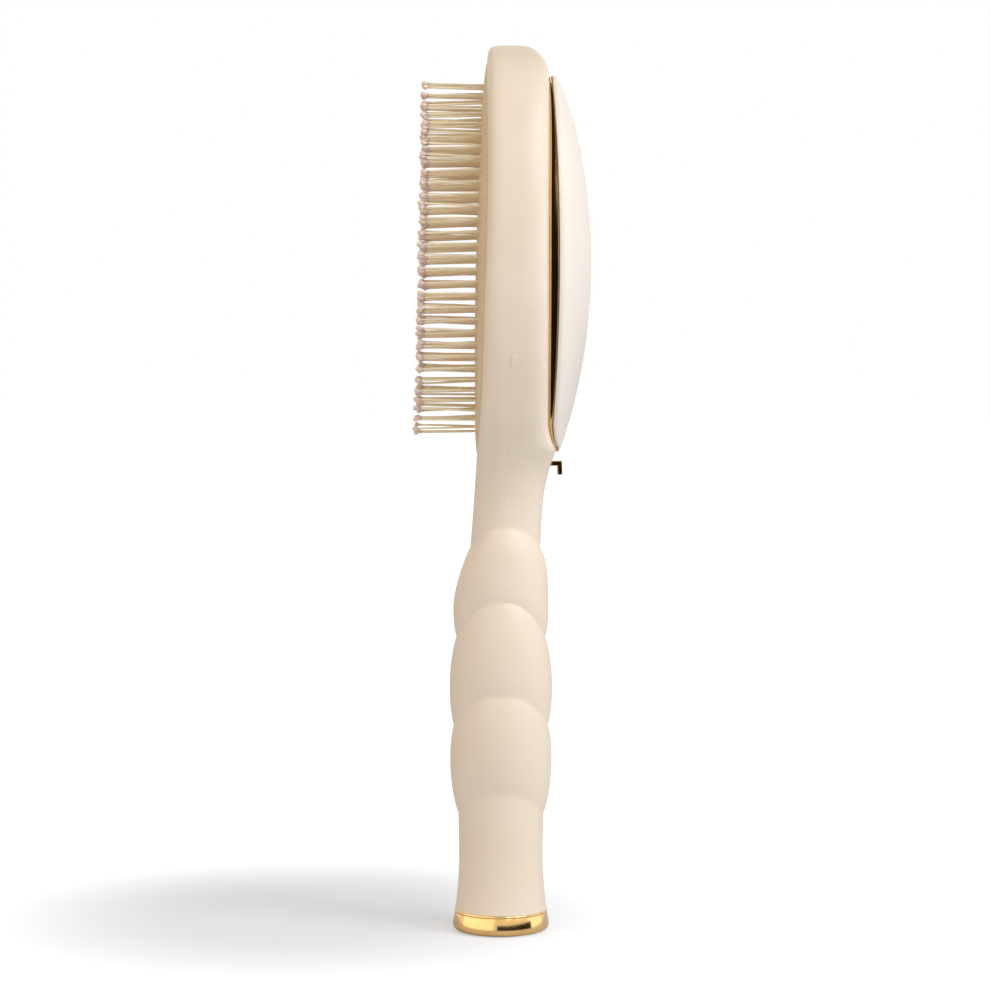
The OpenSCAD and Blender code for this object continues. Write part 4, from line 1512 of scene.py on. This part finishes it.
@dataclass
class Studio:
    """White floor and backdrop, soft lights and the photograph's camera, in metres.

    A card is bent round an axis: its first and last angle in degrees and its radius, and for the head the
    height of the axis. Its other two edges lie across the head, or above the floor for the base.
    """

    eye: Point = (-0.0016, -0.75, 0.15)
    target: Point = (-0.0016, 0.0, 0.1188)
    lens: float = 100.5
    sensor: float = 36.0
    shade_at: Point = (-0.055, 0.02, 0.0)
    white_from: float = 0.03
    white_to: float = 0.13
    least_white: float = 0.3
    glow: float = 1.2
    floor_light: str = "DEE2EA"
    floor_deep: str = "DADEE6"
    floor_corners: tuple[Point, ...] = ((-6, -3, 0), (6, -3, 0), (6, 9, 0), (-6, 9, 0))
    room: float = 0.3
    room_color: Point = (1.0, 0.93, 0.85)
    pale: float = 1.0
    pale_color: Point = (1.0, 0.96, 0.9)
    card_color: Point = (0.012, 0.009, 0.007)
    card_steps: int = 24
    head_card: tuple[float, float, float, float] = (-72.0, 100.0, 0.085, 0.18)
    head_card_x: Pair = (-0.03, 0.12)
    base_card: tuple[float, float, float] = (-9.0, 74.0, 0.11)
    base_card_z: Pair = (0.0, 0.021)

    def floor(self) -> None:
        """Makes the floor that takes the soft shadow."""
        r = Recipe("studio_floor")
        grain = r.noise(Noise(8))
        r.feed(Base_Color=r.mix(grain, self.floor_deep, self.floor_light), Roughness=r.moved(0.6, 0.1, grain))
        glow = r.node("ShaderNodeEmission", inputs={"Color": (1, 1, 1, 1), "Strength": self.glow})
        far = r.node("ShaderNodeVectorMath", {"operation": "DISTANCE"}, {0: r.place(), 1: self.shade_at})
        fade = r.node("ShaderNodeMapRange", {"interpolation_type": "SMOOTHSTEP"}, {
            "Value": far.outputs["Value"], "From Min": self.white_from, "From Max": self.white_to,
            "To Min": self.least_white, "To Max": 1.0})
        seen = r.node("ShaderNodeLightPath").outputs
        part = r.product(fade.outputs[0], seen["Is Camera Ray"])
        white = r.node("ShaderNodeMixShader", inputs={0: part, 1: r.shader.outputs[0], 2: glow.outputs[0]})
        staged("floor", self.floor_corners, [(0, 1, 2, 3)], r.surface(white))

    def black(self) -> bpy.types.Material:
        """A black that only reflections see.

        Returns:
            The material.
        """
        r = Recipe("studio_black")
        clear = r.node("ShaderNodeBsdfTransparent")
        dark = r.node("ShaderNodeEmission", inputs={"Color": (*self.card_color, 1), "Strength": 1.0})
        seen = r.node("ShaderNodeLightPath").outputs["Is Glossy Ray"]
        mix = r.node("ShaderNodeMixShader", inputs={0: seen, 1: clear.outputs[0], 2: dark.outputs[0]})
        return r.surface(mix)

    def cards(self) -> None:
        """Stands bent black cards round the front of head and base, as a studio does for bright metal."""
        head_from, head_to, head_r, axis = self.head_card
        base_from, base_to, base_r = self.base_card
        head, base = [], []
        for k in range(self.card_steps + 1):
            a = math.radians(head_from + (head_to - head_from) * k / self.card_steps)
            head += [(x, -head_r * math.cos(a), axis + head_r * math.sin(a)) for x in self.head_card_x]
            a = math.radians(base_from + (base_to - base_from) * k / self.card_steps)
            base += [(base_r * math.sin(a), -base_r * math.cos(a), z) for z in self.base_card_z]
        faces = [(2 * k, 2 * k + 1, 2 * k + 3, 2 * k + 2) for k in range(self.card_steps)]
        black = self.black()
        staged("head_card", head, faces, black)
        staged("base_card", base, faces, black)

    def sky(self) -> None:
        """White to the camera, grey to soft light and paler to reflections."""
        world = bpy.data.worlds.new("room")
        world.use_nodes = True
        tree = world.node_tree
        tree.nodes.clear()

        def light(color: Point, strength: float) -> bpy.types.Node:
            """A background of a colour and a strength."""
            return new_node(tree, "ShaderNodeBackground", inputs={0: (*color, 1), 1: strength})

        path = new_node(tree, "ShaderNodeLightPath").outputs
        pale, white = light(self.pale_color, self.pale), light((1, 1, 1), 1.0)
        shader = light(self.room_color, self.room)
        for test, item in (("Is Glossy Ray", pale), ("Is Camera Ray", white)):
            shader = new_node(tree, "ShaderNodeMixShader", inputs={
                0: path[test], 1: shader.outputs[0], 2: item.outputs[0]})
        new_node(tree, "ShaderNodeOutputWorld", inputs={0: shader.outputs[0]})
        bpy.context.scene.world = world

    def build(self) -> None:
        """Makes the whole studio."""
        self.floor()
        self.sky()
        self.cards()
        for lamp in LAMPS:
            data = bpy.data.lights.new(lamp.name, "AREA")
            data.size, data.energy, data.color = lamp.size, lamp.power, lamp.color
            aimed(lamp.name, data, lamp.place, lamp.aim)
        camera = bpy.data.cameras.new("camera")
        camera.lens, camera.sensor_width = self.lens, self.sensor
        bpy.context.scene.camera = aimed("camera", camera, self.eye, self.target)
        bpy.context.scene.view_settings.view_transform = "Standard"


def main() -> None:
    """Builds the dressed brush and its studio."""
    logging.basicConfig(level=logging.INFO)
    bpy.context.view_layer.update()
    Studio().build()
    BodyShells().build()
    cushion = Cushion()
    pad = seat(cushion.pad(), "body", Finish.CUSHION, "cushion_pad")
    seat(PinField(cushion).build(), "body", Finish.PIN, "pin_field")
    lid = Lid()
    lid.build()
    Trim(lid).build()
    ThumbTab().build()
    Spring().build()
    BaseCap().build()
    for finish, names in KEPT.items():
        for name in names:
            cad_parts[name].material_slots[0].material = paint(finish)
            log.info("%s keeps its packed shape", name)


if __name__ == "__main__":
    main()
